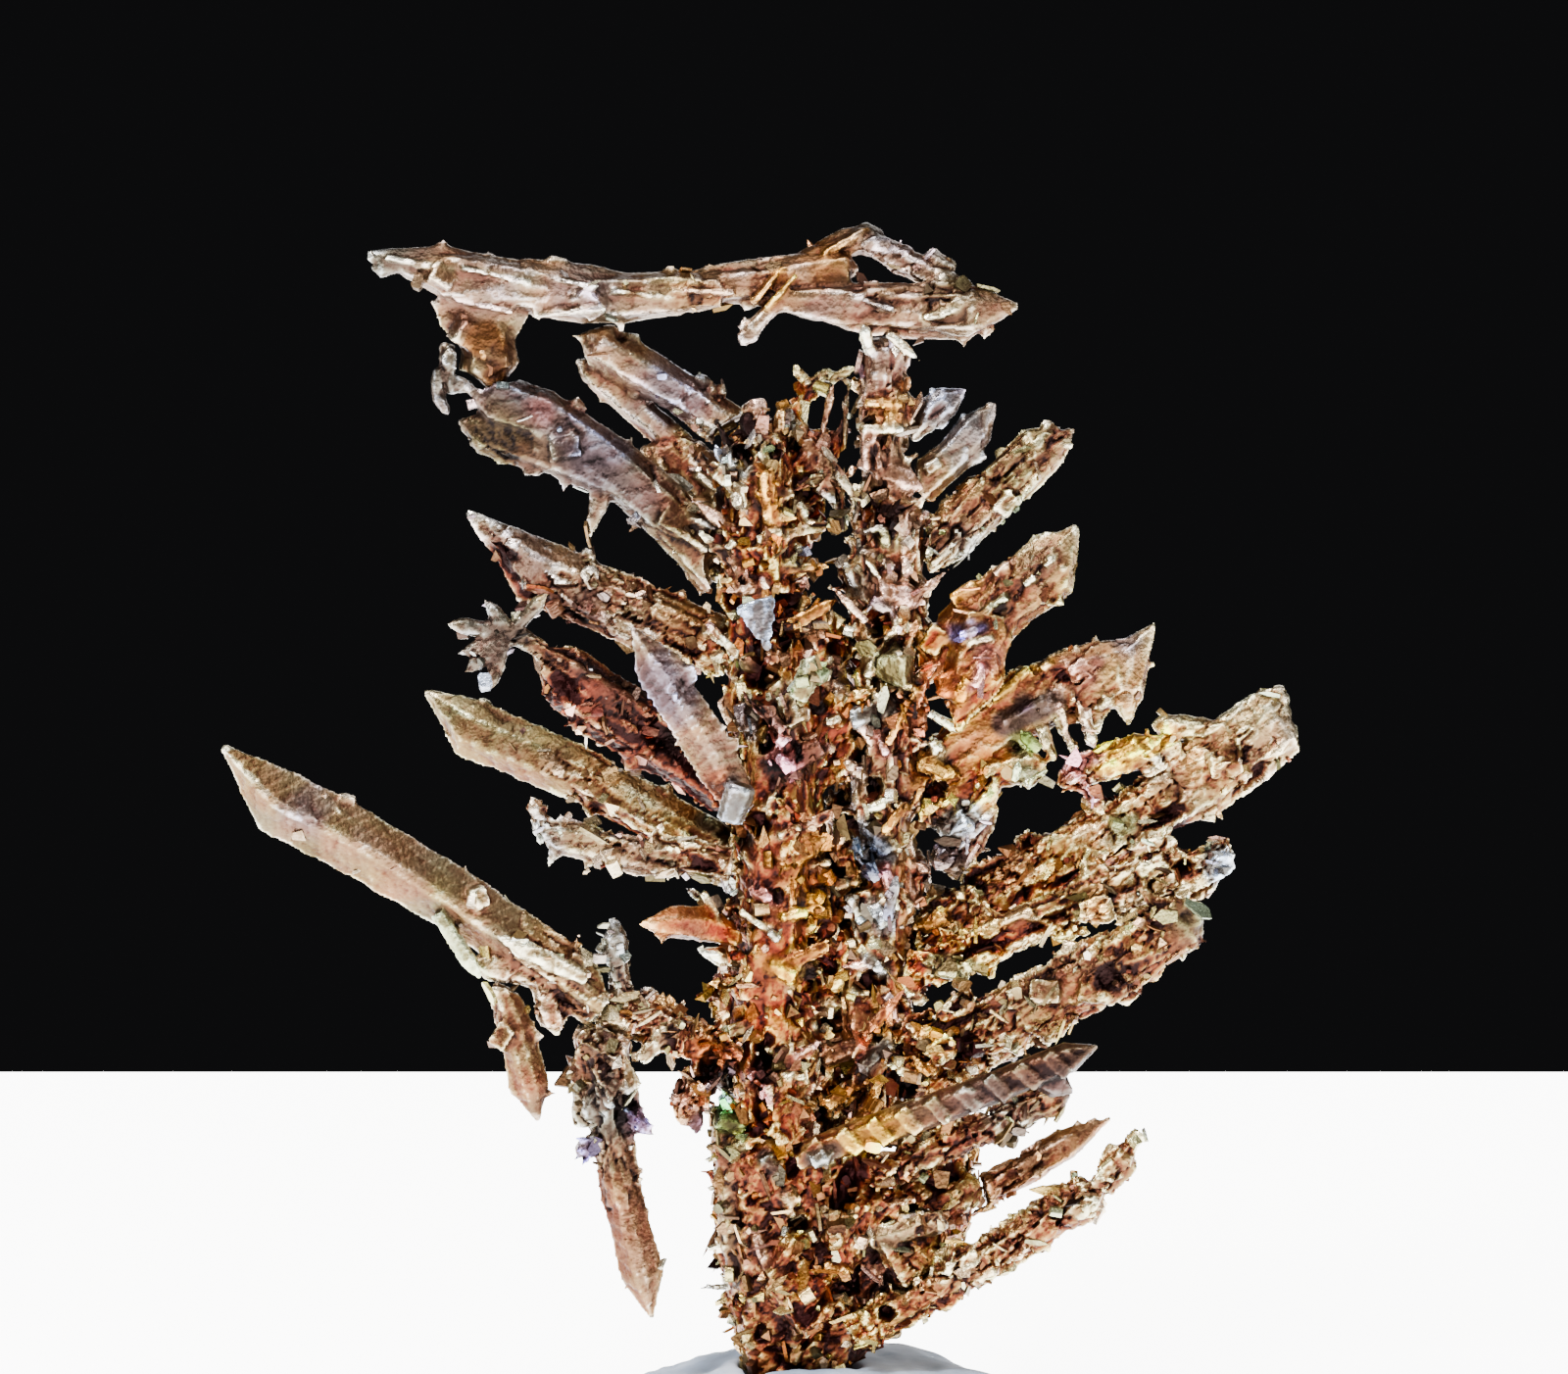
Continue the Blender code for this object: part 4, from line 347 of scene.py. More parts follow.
# Small plates and rods on the front: x and z of the start, of the end, width, colour, and how much paler
FLAKES = {
    "top_bar": [(-17.4, 50.6, -14.7, 50.1, 0.2, CREAM, 0.1), (-14.3, 50.2, -11.7, 49.6, 0.2, CREAM, 0.08),
        (-11.2, 49.8, -8.9, 49.4, 0.2, CREAM, 0.1), (-8.3, 49.2, -6.0, 48.9, 0.18, CREAM, 0.08),
        (-14.6, 48.9, -12.3, 48.4, 0.2, ROSE, 0.06), (-11.5, 48.2, -8.7, 48.5, 0.22, CREAM, 0.08),
        (-2.7, 48.6, -1.5, 50.0, 0.3, AMBER, 0.08), (-2.1, 48.4, -0.9, 49.8, 0.25, LEMON, 0.02),
        (0.2, 50.5, 1.9, 51.5, 0.3, AMBER, 0.06), (4.2, 48.0, 5.6, 48.4, 0.3, CREAM, 0.06),
        (1.4, 48.9, 3.0, 48.4, 0.25, ASH, 0.06), (-5.4, 49.2, -3.4, 49.1, 0.25, ROSE, 0.06)],
    "left_stem": [(-2.7, 43.2, -2.1, 43.2, 0.4, CREAM, 0.05), (-1.6, 43.2, -1.5, 42.6, 0.5, CREAM, 0.08),
        (-2.3, 42.8, -2.0, 42.1, 0.6, CREAM, 0.1), (-2.5, 41.7, -2.5, 40.5, 0.3, MAROON, -0.1),
        (-3.3, 41.5, -3.0, 40.5, 0.4, CREAM, 0.04), (-4.0, 42.0, -3.8, 41.3, 0.4, LEMON, 0.08),
        (-3.7, 42.7, -3.1, 42.1, 0.9, ASH, 0), (-1.4, 42.8, -0.9, 43.4, 0.3, CREAM, 0),
        (-0.5, 43.1, 0.1, 41.8, 0.8, ROSE, 0), (-0.9, 40.1, 0.6, 41.0, 0.2, CREAM, 0.05),
        (-1.2, 39.9, 0.3, 39.5, 0.3, RUST, -0.08), (-0.9, 40.6, -0.5, 40.0, 0.4, CREAM, 0.1),
        (-1.9, 40.4, -1.3, 40.1, 0.4, CREAM, 0.08), (-2.4, 41.0, -2.2, 40.3, 0.2, LEMON, 0.08),
        (-2.1, 42.0, -1.9, 40.4, 0.6, AMBER, 0), (-2.2, 40.0, -0.9, 40.1, 0.4, AMBER, 0),
        (-1.5, 39.2, -0.6, 39.6, 0.3, ROSE, 0.04), (-0.6, 39.5, -0.3, 38.9, 0.3, ROSE, 0.04),
        (-1.1, 38.9, -0.6, 38.7, 0.3, ASH, 0.06), (-2.5, 39.2, -1.5, 39.5, 0.4, CREAM, 0.06),
        (-2.2, 38.8, -1.6, 39.2, 0.3, LEMON, 0.04), (-1.7, 38.3, -0.7, 38.1, 0.4, OLIVE, 0.04),
        (-1.4, 37.4, -0.1, 38.0, 0.3, LEMON, 0.06), (-3.7, 38.8, -3.4, 39.2, 0.4, CREAM, 0.12),
        (-4.5, 38.8, -3.8, 38.6, 0.4, CREAM, 0.1), (-2.3, 37.7, -2.1, 37.2, 0.3, PINK, 0.1),
        (-3.5, 38.4, -3.1, 37.6, 0.6, ROSE, 0), (-3.4, 37.2, -2.2, 37.3, 0.5, ROSE, 0.02),
        (-1.3, 36.2, -0.4, 36.7, 0.4, AMBER, 0.02), (-0.6, 36.4, 1.1, 37.1, 0.6, AMBER, 0.04),
        (-1.4, 36.7, -0.5, 37.6, 0.5, ROSE, 0), (-1.4, 32.9, -0.8, 31.7, 1.0, CREAM, 0.02),
        (-0.4, 33.6, -0.7, 32.9, 0.8, SAGE, -0.02), (-2.4, 34.5, -1.1, 34.4, 0.6, RUST, 0),
        (-1.9, 31.6, -1.3, 30.9, 0.6, PINK, 0.04), (-1.4, 29.9, 0.1, 30.8, 1.0, MAROON, 0),
        (-1.7, 30.4, -0.9, 29.8, 0.6, PINK, 0.08), (-3.1, 32.5, -2.8, 31.4, 0.8, PLUM, 0),
        (-4.0, 32.5, -3.5, 31.5, 0.4, ROSE, 0.06), (-0.3, 32.6, 0.1, 32.2, 0.6, RUST, 0.04),
        (0.3, 31.6, 0.9, 31.8, 0.4, CREAM, 0.06), (-1.4, 34.9, 0.3, 35.3, 0.6, RUST, 0.02),
        (-1.0, 35.5, -0.1, 35.2, 0.4, CREAM, 0.04), (-0.2, 34.7, 0.4, 35.1, 0.4, ROSE, 0.04),
        (-3.5, 33.6, -3.1, 33.2, 0.4, CREAM, 0.04), (-3.2, 24.1, -1.7, 23.0, 0.3, CREAM, 0.08),
        (-2.0, 23.3, -1.6, 22.9, 0.4, ASH, 0.18), (-3.1, 26.6, -2.7, 25.8, 0.3, CREAM, 0.04),
        (-2.1, 28.3, -1.7, 29.0, 0.4, CREAM, 0.06), (-1.6, 27.2, -0.7, 27.6, 0.4, CREAM, 0.08),
        (-0.7, 26.9, -0.4, 26.6, 0.3, LEMON, 0.22), (-1.3, 26.2, 0.4, 27.1, 0.9, AMBER, 0),
        (-0.9, 25.6, 0.5, 25.9, 0.3, CREAM, 0.1), (-1.3, 25.1, 0.4, 25.3, 0.7, FLAME, -0.02),
        (-1.3, 24.6, 0.3, 23.9, 0.9, AMBER, 0.06), (-1.5, 23.8, -0.4, 24.0, 0.4, LEMON, 0.08),
        (-1.2, 23.0, 0.1, 23.3, 0.4, LEMON, 0.08), (0.4, 22.1, 0.9, 23.2, 0.3, CREAM, 0.12),
        (0.6, 24.7, 1.2, 25.0, 0.4, CREAM, 0.08), (1.5, 24.7, 1.8, 24.2, 0.3, ASH, 0.2),
        (-2.7, 25.0, -1.8, 24.5, 0.6, PINK, 0), (-3.4, 20.7, -2.7, 19.7, 0.4, RUST, -0.02),
        (-1.9, 21.8, -0.9, 21.3, 0.8, LEMON, 0.04), (-1.2, 20.9, -0.9, 19.8, 0.4, CREAM, 0.08),
        (-0.9, 21.7, 0.1, 21.3, 0.7, OLIVE, 0), (-0.3, 19.9, 1.5, 19.9, 0.5, CREAM, 0.02),
        (-0.4, 19.1, -0.0, 18.9, 0.4, CREAM, 0.2), (0.6, 19.0, 0.9, 18.7, 0.3, CREAM, 0.2),
        (-2.3, 18.6, -2.0, 19.1, 0.4, LEMON, 0.06), (-3.7, 19.0, -2.5, 19.2, 0.5, OLIVE, 0.02),
        (-0.9, 18.0, -0.1, 18.5, 0.3, PINK, 0.14), (0.1, 17.7, 1.6, 18.2, 0.9, RUST, 0),
        (-2.6, 17.5, -2.0, 16.6, 0.9, PINK, -0.04), (-1.3, 17.2, -0.5, 17.2, 0.4, CREAM, 0.2),
        (-0.5, 16.4, 0.2, 17.1, 0.4, ROSE, 0.06), (-1.3, 16.2, -0.1, 15.2, 0.7, FLAME, 0.02),
        (-0.8, 15.3, -0.4, 15.1, 0.4, CREAM, 0.16)],
    "upper_blade": [(-4.9, 41.6, -4.0, 40.9, 0.3, CREAM, 0.04)],
    "hooked_blade": [(-5.4, 40.0, -4.1, 39.5, 0.4, ASH, 0.04), (-5.4, 39.3, -4.5, 38.7, 0.3, CREAM, 0.04),
        (-4.6, 38.0, -4.0, 37.3, 0.4, CREAM, 0.06)],
    "right_stem": [(1.7, 43.5, 3.6, 43.5, 0.5, CREAM, 0.04), (1.9, 44.6, 3.4, 44.5, 0.4, AMBER, 0.04),
        (2.1, 43.1, 2.2, 41.8, 0.8, ROSE, 0), (2.7, 41.8, 4.3, 41.0, 1.1, ROSE, 0),
        (3.4, 41.9, 4.1, 42.5, 0.4, CREAM, 0.06), (3.6, 42.1, 4.8, 43.1, 0.2, CREAM, 0.04),
        (2.8, 40.5, 3.7, 39.7, 0.9, ROSE, 0.02), (1.7, 41.2, 2.2, 40.3, 0.5, CREAM, 0.06),
        (1.3, 39.4, 3.1, 39.6, 0.4, ASH, 0.04), (2.5, 39.2, 3.1, 38.9, 0.6, OLIVE, 0),
        (1.7, 38.6, 3.1, 37.9, 0.4, PLUM, -0.02), (1.0, 38.1, 1.5, 37.1, 0.3, ASH, 0.06),
        (1.9, 38.3, 2.6, 37.4, 0.2, CREAM, 0.06), (3.5, 38.2, 3.7, 37.6, 0.4, ROSE, 0.06),
        (3.6, 37.4, 4.4, 36.8, 0.5, ROSE, 0.04), (0.4, 37.0, 1.2, 36.8, 0.3, CREAM, 0.08),
        (1.3, 31.7, 2.9, 32.2, 0.9, ASH, -0.06), (2.2, 32.5, 2.8, 32.6, 0.4, CREAM, 0.22),
        (2.0, 33.4, 2.3, 34.3, 0.4, CREAM, 0.04), (1.6, 33.5, 1.7, 32.9, 0.3, LEMON, 0.06),
        (3.6, 32.4, 3.4, 31.0, 0.5, FLAME, 0.1), (4.3, 32.5, 4.1, 30.7, 0.5, FLAME, 0.02),
        (1.8, 31.3, 2.3, 30.6, 0.4, ROSE, 0.06), (2.4, 31.1, 2.8, 30.2, 0.4, PINK, 0.04),
        (2.6, 37.0, 4.4, 36.4, 1.0, ROSE, 0.04), (2.1, 36.6, 3.0, 36.1, 0.5, PLUM, 0.06),
        (0.9, 35.2, 1.8, 34.5, 0.6, PLUM, 0), (1.3, 24.4, 1.9, 22.8, 0.5, ASH, 0.02),
        (2.0, 27.3, 2.8, 26.1, 0.8, SLATE, 0), (1.4, 28.8, 1.6, 27.4, 0.2, STEEL, 0.08),
        (2.0, 28.0, 3.3, 28.6, 0.4, CREAM, 0.14), (2.8, 27.0, 3.4, 26.2, 0.3, CREAM, 0.04),
        (2.7, 25.5, 3.0, 24.7, 0.5, PINK, 0.08), (2.5, 24.5, 3.4, 23.8, 0.3, CREAM, 0.08),
        (2.2, 24.0, 2.8, 23.2, 0.7, ASH, 0.16), (3.5, 24.6, 4.2, 23.8, 0.7, ROSE, 0.04),
        (3.8, 25.6, 4.7, 25.1, 0.5, ROSE, 0.06), (3.3, 28.5, 5.3, 29.5, 0.6, AMBER, 0.02),
        (0.9, 21.5, 2.1, 21.6, 0.3, PINK, 0.14), (2.0, 21.8, 2.8, 21.2, 0.6, ASH, 0.02),
        (1.3, 20.5, 2.2, 20.3, 0.3, CREAM, 0.14), (0.5, 19.0, 1.3, 19.5, 0.6, AMBER, 0.02),
        (1.8, 17.2, 2.7, 18.2, 0.6, ASH, 0), (2.1, 18.4, 2.5, 19.1, 0.4, OLIVE, 0.02),
        (2.9, 20.1, 3.3, 19.2, 0.3, PINK, 0.08), (0.3, 15.8, 2.3, 16.9, 0.6, AMBER, 0.04)],
    # The forked blade's flakes sit where bright specks are: their paler values are painted highlight.
    "forked_blade": [(5.1, 33.6, 5.6, 32.4, 1.0, FLAME, 0.02), (5.4, 36.5, 6.4, 37.2, 0.5, AMBER, 0.14),
        (6.7, 36.2, 7.7, 36.7, 0.35, SAGE, 0.2), (5.7, 35.2, 6.7, 35.5, 0.35, VIOLET, 0.14),
        (6.1, 34.9, 7.1, 35.1, 0.25, CREAM, 0.25), (8.3, 37.2, 8.8, 37.6, 0.4, CREAM, 0.18),
        (9.1, 38.0, 9.6, 38.4, 0.3, CREAM, 0.14), (6.1, 33.5, 5.7, 32.5, 0.5, AMBER, 0.1),
        (6.7, 33.9, 6.3, 33.1, 0.4, PINK, 0.1), (7.1, 37.6, 7.9, 38.2, 0.3, ROSE, 0.1)],
    "jagged_blade": [(4.1, 29.8, 5.7, 29.2, 0.8, AMBER, 0.1), (7.6, 31.3, 9.6, 32.2, 0.9, PLUM, -0.04),
        (9.2, 31.7, 9.5, 30.5, 0.25, ROSE, 0.12), (9.9, 32.0, 10.3, 30.7, 0.25, ROSE, 0.12),
        (10.6, 32.3, 11.0, 31.2, 0.25, ROSE, 0.12), (10.2, 34.7, 10.4, 35.0, 0.35, AMBER, 0.12),
        (9.1, 33.5, 9.6, 33.8, 0.35, AMBER, 0.1), (10.8, 33.5, 11.2, 33.1, 0.4, MAROON, -0.08),
        (7.1, 32.3, 8.7, 33.5, 0.5, LEMON, 0.04), (4.6, 30.7, 5.1, 30.0, 0.5, CREAM, 0.08),
        (5.0, 26.7, 6.1, 27.6, 1.0, ASH, 0), (4.7, 26.0, 5.8, 25.5, 1.0, PLUM, 0.04),
        (4.1, 27.6, 5.7, 28.4, 0.4, LEMON, 0.06)],
    "left_spear": [(-4.6, 35.3, -3.7, 34.6, 0.4, CREAM, 0.04), (-4.5, 35.6, -4.0, 35.0, 0.3, PINK, 0.1),
        (-4.1, 34.3, -3.9, 33.4, 0.3, CREAM, 0.04)],
    "left_lance": [(-4.7, 27.2, -3.7, 26.6, 0.7, SAGE, -0.04)],
    "lens_crystal": [(-4.7, 24.8, -4.0, 23.8, 0.3, CREAM, 0.06), (-3.9, 22.7, -4.8, 21.7, 0.5, ROSE, 0.06)],
    "thorn_twig": [(-3.8, 25.0, -3.5, 24.6, 0.4, ASH, 0.14)],
    "long_arm": [(11.6, 29.7, 14.2, 30.7, 1.0, LEMON, 0.05), (12.2, 30.7, 12.5, 29.7, 0.15, RUST, 0),
        (12.9, 30.9, 13.2, 29.9, 0.15, RUST, 0), (13.5, 31.0, 13.7, 30.2, 0.12, RUST, 0),
        (10.3, 29.6, 11.4, 30.0, 0.6, PINK, 0.06), (10.6, 29.3, 11.4, 28.1, 0.4, PINK, 0.02),
        (4.4, 23.8, 6.3, 24.8, 0.4, SAGE, 0.06), (4.2, 22.8, 5.3, 23.4, 0.7, AMBER, 0)],
    "lace_arm_lower": [(3.6, 19.3, 4.5, 18.3, 0.3, CREAM, 0.08), (4.1, 19.0, 5.4, 18.6, 0.5, AMBER, 0.16),
        (3.9, 17.7, 4.9, 17.3, 0.6, AMBER, 0.12), (4.7, 19.5, 6.1, 20.7, 0.3, CREAM, 0.12),
        (2.9, 17.6, 4.4, 16.7, 0.3, CREAM, 0.06)],
    "lace_arm_upper": [(3.7, 20.3, 4.7, 20.0, 0.6, CREAM, 0.04), (4.9, 21.6, 6.2, 21.3, 1.0, OLIVE, 0.06)],
    # The emerald flake's high paler value is painted highlight on green tarnish.
    "root_mass": [(-4.0, 16.2, -3.3, 15.5, 0.6, EMERALD, 0.3), (-4.1, 15.3, -3.0, 14.9, 0.8, MOSS, 0.12),
        (-3.7, 14.0, -2.9, 14.3, 0.5, SAGE, 0.08), (-2.2, 13.8, -1.7, 13.0, 0.6, ASH, 0.04),
        (2.2, 10.1, 5.2, 11.2, 1.0, CREAM, -0.08), (2.1, 9.0, 2.8, 8.7, 0.7, ROSE, 0.04),
        (0.2, 9.3, 1.5, 8.9, 0.5, AMBER, 0.06), (2.3, 11.6, 4.0, 12.0, 0.3, ROSE, 0.04),
        (1.4, 12.0, 3.1, 12.7, 0.3, AMBER, 0.06), (-1.4, 12.2, -0.9, 10.9, 0.5, CREAM, 0.04),
        (-2.5, 10.4, -2.0, 9.2, 0.5, ROSE, 0.04)],
    "ribbed_bar": [(-0.3, 14.0, 0.6, 14.4, 0.7, ASH, 0.02)],
}

# Openings between the crystals, pushed back and darkened with painted shade: x and z of the middle, and the reach
HOLES = {
    "left_stem": [(-3.1, 42.5, 0.4), (-1.1, 43.0, 0.3), (-0.4, 41.2, 0.5), (-0.8, 36.9, 0.3),
        (0.8, 34.5, 0.4), (-2.1, 33.7, 0.4), (-1.3, 35.1, 0.3), (-2.0, 31.2, 0.4), (-2.3, 27.7, 0.4),
        (-3.3, 26.8, 0.4), (-3.5, 25.4, 0.3), (1.2, 23.4, 0.3), (-3.9, 20.8, 0.3), (-3.3, 21.7, 0.2),
        (0.6, 21.5, 0.2), (-2.6, 16.9, 0.2)],
    "right_stem": [(1.9, 40.0, 0.2), (2.4, 35.4, 0.3), (2.4, 33.1, 0.2), (0.4, 28.1, 0.7),
        (2.3, 28.9, 0.3), (2.0, 26.2, 0.3), (2.0, 20.8, 0.4), (1.6, 18.4, 0.3), (2.4, 18.7, 0.3),
        (1.6, 15.9, 0.5)],
    "long_arm": [(5.2, 24.3, 0.2)],
    "left_fork": [(-4.5, 17.7, 0.5), (-3.6, 17.4, 0.4)],
    "low_blade": [(3.7, 16.2, 0.3)],
    "ribbed_bar": [(-0.9, 14.6, 0.3)],
    "root_mass": [(1.1, 8.4, 0.5), (3.8, 11.5, 0.3), (-0.8, 10.9, 0.3), (-3.2, 7.5, 0.3)],
    "lowest_blade": [(2.8, 7.4, 0.3)],
}


class SilverSurface(PropertyGroup):
    """How fine the silver's surface is made."""

    pitch: FloatProperty(name="Mesh pitch", description="Distance between the surface's points, in mm",
                         default=0.12, min=0.06, max=0.5)
    block: FloatProperty(name="Block size", description="Size of the larger grown-on grains, in mm",
                         default=0.9, min=0.2, max=3.0)
    block_depth: FloatProperty(name="Block depth", description="How far the larger grains stand out, in mm",
                               default=0.22, min=0.0, max=1.0)
    grain: FloatProperty(name="Grain size", description="Size of the smaller grains, in mm",
                         default=0.36, min=0.1, max=1.5)
    grain_depth: FloatProperty(name="Grain depth", description="How far the smaller grains stand out, in mm",
                               default=0.11, min=0.0, max=0.5)
    seeds: FloatProperty(name="Crystals per square mm", description="Small crystals grown on the surface",
                         default=2.0, min=0.0, max=20.0)
    seed: FloatProperty(name="Crystal size", description="Half the usual size of a small crystal, in mm",
                        default=0.155, min=0.03, max=0.6)
    random: IntProperty(name="Random seed", description="Another number grows another surface", default=7)


class SilverTarnish(PropertyGroup):
    """The colours of the tarnish from its hollows to its crests, with painted shade that darkens the hollows to near
    black and painted highlight that pales the crests.
    """

    # The hollows' colours are near black: painted shade over the tarnish's dark red-brown; the crests' pale colours are
    # partly painted highlight.
    cool_deep: FloatVectorProperty(name="Hollows", description="Grey silver, in its hollows", size=3,
                                   subtype="COLOR", default=linear(20, 10, 8), min=0, max=1)
    cool_low: FloatVectorProperty(name="Low", description="Grey silver, low on its face", size=3,
                                  subtype="COLOR", default=linear(66, 49, 36), min=0, max=1)
    cool_face: FloatVectorProperty(name="Face", description="Grey silver, on its face", size=3,
                                   subtype="COLOR", default=linear(105, 92, 71), min=0, max=1)
    cool_crest: FloatVectorProperty(name="Crest", description="Grey silver, on its crests", size=3,
                                    subtype="COLOR", default=linear(220, 211, 188), min=0, max=1)
    warm_deep: FloatVectorProperty(name="Warm hollows", description="Golden silver, in its hollows", size=3,
                                   subtype="COLOR", default=linear(34, 5, 5), min=0, max=1)
    warm_low: FloatVectorProperty(name="Warm low", description="Golden silver, low on its face", size=3,
                                  subtype="COLOR", default=linear(94, 31, 8), min=0, max=1)
    warm_face: FloatVectorProperty(name="Warm face", description="Golden silver, on its face", size=3,
                                   subtype="COLOR", default=linear(140, 92, 26), min=0, max=1)
    warm_crest: FloatVectorProperty(name="Warm crest", description="Golden silver, on its crests", size=3,
                                    subtype="COLOR", default=linear(234, 208, 112), min=0, max=1)
    roughness: FloatProperty(name="Roughness", description="How dull the silver is", default=0.3,
                             min=0, max=1, subtype="FACTOR")
    metallic: FloatProperty(name="Metal", description="How much of the surface is bare metal", default=0.9,
                            min=0, max=1, subtype="FACTOR")


class StageSettings(PropertyGroup):
    """The floor, the lights and the camera."""

    floor: FloatVectorProperty(name="Floor", description="Colour of the floor", size=3, subtype="COLOR",
                               default=(0.86, 0.86, 0.85), min=0, max=1)
    glow: FloatProperty(name="Floor glow", description="Light that the floor gives of its own",
                        default=9.0, min=0, max=20)
    dark: FloatVectorProperty(name="Backdrop", description="Colour of the dark behind the floor", size=3,
                              subtype="COLOR", default=(0.006, 0.006, 0.0065), min=0, max=1)
    key: FloatProperty(name="Key light", description="Power of the main light, in watts", default=2.3, min=0)
    fill: FloatProperty(name="Fill light", description="Power of each softer light, in watts", default=0.28,
                        min=0)
    tilt: FloatProperty(name="Camera height", description="How far the camera looks down", unit="ROTATION",
                        default=math.radians(8.0))
    distance: FloatProperty(name="Camera distance", description="From the middle of the view", unit="LENGTH",
                            default=0.2667, min=0.05)
    lens: FloatProperty(name="Lens", description="Focal length of the camera", default=150.0, min=10,
                        unit="CAMERA")


# ---------------------------------------------------------------- steady noise

def cell_random(cells, seed):
    """Three steady random numbers, 0 to 1, for each whole-number cell."""
    c = cells.astype(np.int64).view(np.uint64)
    mixed = (c[:, 0] * np.uint64(73856093)) ^ (c[:, 1] * np.uint64(19349663)) \
        ^ (c[:, 2] * np.uint64(83492791)) ^ np.uint64(seed * 2654435761 % 2 ** 63)
    for shift, factor in ((31, 0x9E3779B97F4A7C15), (29, 0xBF58476D1CE4E5B9), (32, 0x94D049BB133111EB)):
        mixed = (mixed ^ (mixed >> np.uint64(shift))) * np.uint64(factor)
    bits = np.uint64(0x1FFFFF)
    picks = [(mixed >> np.uint64(s)) & bits for s in (0, 21, 42)]
    return np.stack(picks, 1).astype(float) / float(0x200000)


def drift(points, size, seed):
    """Smooth noise, about -1 to 1, that changes over that size."""
    scaled = points / size
    base = np.floor(scaled)
    part = scaled - base
    part = part * part * (3.0 - 2.0 * part)
    total = np.zeros(len(points))
    for corner in product((0, 1), repeat=3):
        share = np.prod(np.where(corner, part, 1.0 - part), axis=1)
        total += share * cell_random(base + corner, seed)[:, 0]
    return total * 2.0 - 1.0


def grains(points, size, seed, boxy):
    """The nearest grain of a jittered lattice: its own random numbers, the way to its middle, and how
    much nearer it is than the next. Boxy grains meet in flat, square sides."""
    scaled = points / size
    base = np.floor(scaled)
    count = len(points)
    best = np.full(count, 9.0)
    second = np.full(count, 9.0)
    own = np.zeros((count, 3))
    offset = np.zeros((count, 3))
    for step in product((-1, 0, 1), repeat=3):
        cell = base + step
        pick = cell_random(cell, seed)
        away = scaled - cell - 0.15 - 0.7 * pick
        square = np.abs(away).max(1)
        far = np.sqrt((away * away).sum(1)) * (1.0 - boxy) + square * boxy
        nearer = far < best
        second = np.where(nearer, best, np.minimum(second, far))
        best = np.where(nearer, far, best)
        own[nearer] = pick[nearer]
        offset[nearer] = away[nearer]
    return own, offset, second - best


def facets(points, size, seed, boxy):
    """Grains as a height, about -1 to 1: each is a tilted flat, with a groove around it."""
    own, offset, margin = grains(points, size, seed, boxy)
    lean = ((own - 0.5) * offset).sum(1) * 2.0
    step = np.modf(own.sum(1) * 5.31)[0] - 0.5
    groove = 1.0 - np.clip(margin / 0.16, 0.0, 1.0)
    return 0.9 * lean + 0.9 * step - 0.55 * groove, own


# ---------------------------------------------------------------- meshes as arrays

def solid_of(node):
    """The node's solid in mm: its points and its triangles."""
    mesh = frame["nodes"][node].data
    mesh.calc_loop_triangles()
    points = np.zeros(len(mesh.vertices) * 3)
    mesh.vertices.foreach_get("co", points)
    triangles = np.zeros(len(mesh.loop_triangles) * 3, np.int32)
    mesh.loop_triangles.foreach_get("vertices", triangles)
    return points.reshape(-1, 3) / MM, triangles.reshape(-1, 3)


def fused(pieces, pitch):
    """One even skin around all the pieces, which may overlap: its points and its triangles."""
    offset = 0
    points = []
    triangles = []
    for corners, faces in pieces:
        points.append(corners)
        triangles.append(faces + offset)
        offset += len(corners)
    temp = bpy.data.meshes.new("work")
    temp.from_pydata(np.concatenate(points), [], np.concatenate(triangles))
    thing = bpy.data.objects.new("work", temp)
    bpy.context.scene.collection.objects.link(thing)
    remesh = thing.modifiers.new("even", "REMESH")
    remesh.mode = "VOXEL"
    remesh.voxel_size = pitch
    depsgraph = bpy.context.evaluated_depsgraph_get()
    made = bpy.data.meshes.new_from_object(thing.evaluated_get(depsgraph))
    made.calc_loop_triangles()
    points = np.zeros(len(made.vertices) * 3)
    made.vertices.foreach_get("co", points)
    triangles = np.zeros(len(made.loop_triangles) * 3, np.int32)
    made.loop_triangles.foreach_get("vertices", triangles)
    bpy.data.objects.remove(thing)
    bpy.data.meshes.remove(temp)
    bpy.data.meshes.remove(made)
    return points.reshape(-1, 3), triangles.reshape(-1, 3)


class Surface:
    """A triangle mesh as arrays, with what is needed to smooth it and to read its shape."""

    def __init__(self, points, triangles):
        self.points = points
        self.triangles = triangles
        sides = np.sort(np.concatenate([triangles[:, [0, 1]], triangles[:, [1, 2]], triangles[:, [2, 0]]]), 1)
        keys = np.unique(sides[:, 0].astype(np.int64) * len(points) + sides[:, 1])
        self.a = keys // len(points)
        self.b = keys % len(points)
        self.degree = np.maximum(np.bincount(self.a, minlength=len(points))
                                 + np.bincount(self.b, minlength=len(points)), 1)

    def around(self, values):
        """The mean of each point's neighbours."""
        count = len(self.points)
        columns = values.reshape(count, -1)
        total = [np.bincount(self.a, columns[self.b, k], count) + np.bincount(self.b, columns[self.a, k], count)
                 for k in range(columns.shape[1])]
        return (np.stack(total, 1) / self.degree[:, None]).reshape(values.shape)

    def smoothed(self, values, rounds):
        for _ in range(rounds):
            values = 0.4 * values + 0.6 * self.around(values)
        return values

    def triangle_normals(self):
        """Each triangle's normal, as long as twice its area."""
        a, b, c = (self.points[self.triangles[:, k]] for k in range(3))
        return np.cross(b - a, c - a)

    def normals(self):
        flat = self.triangle_normals()
        total = np.zeros_like(self.points)
        for k in range(3):
            column = self.triangles[:, k]
            for axis in range(3):
                total[:, axis] += np.bincount(column, flat[:, axis], len(self.points))
        return total / np.maximum(np.linalg.norm(total, axis=1), 1e-12)[:, None]

    def bulge(self, rounds):
        """How far each point stands out of the smoothed surface, in mm: + on edges and crests."""
        return ((self.points - self.smoothed(self.points, rounds)) * self.normals()).sum(1)


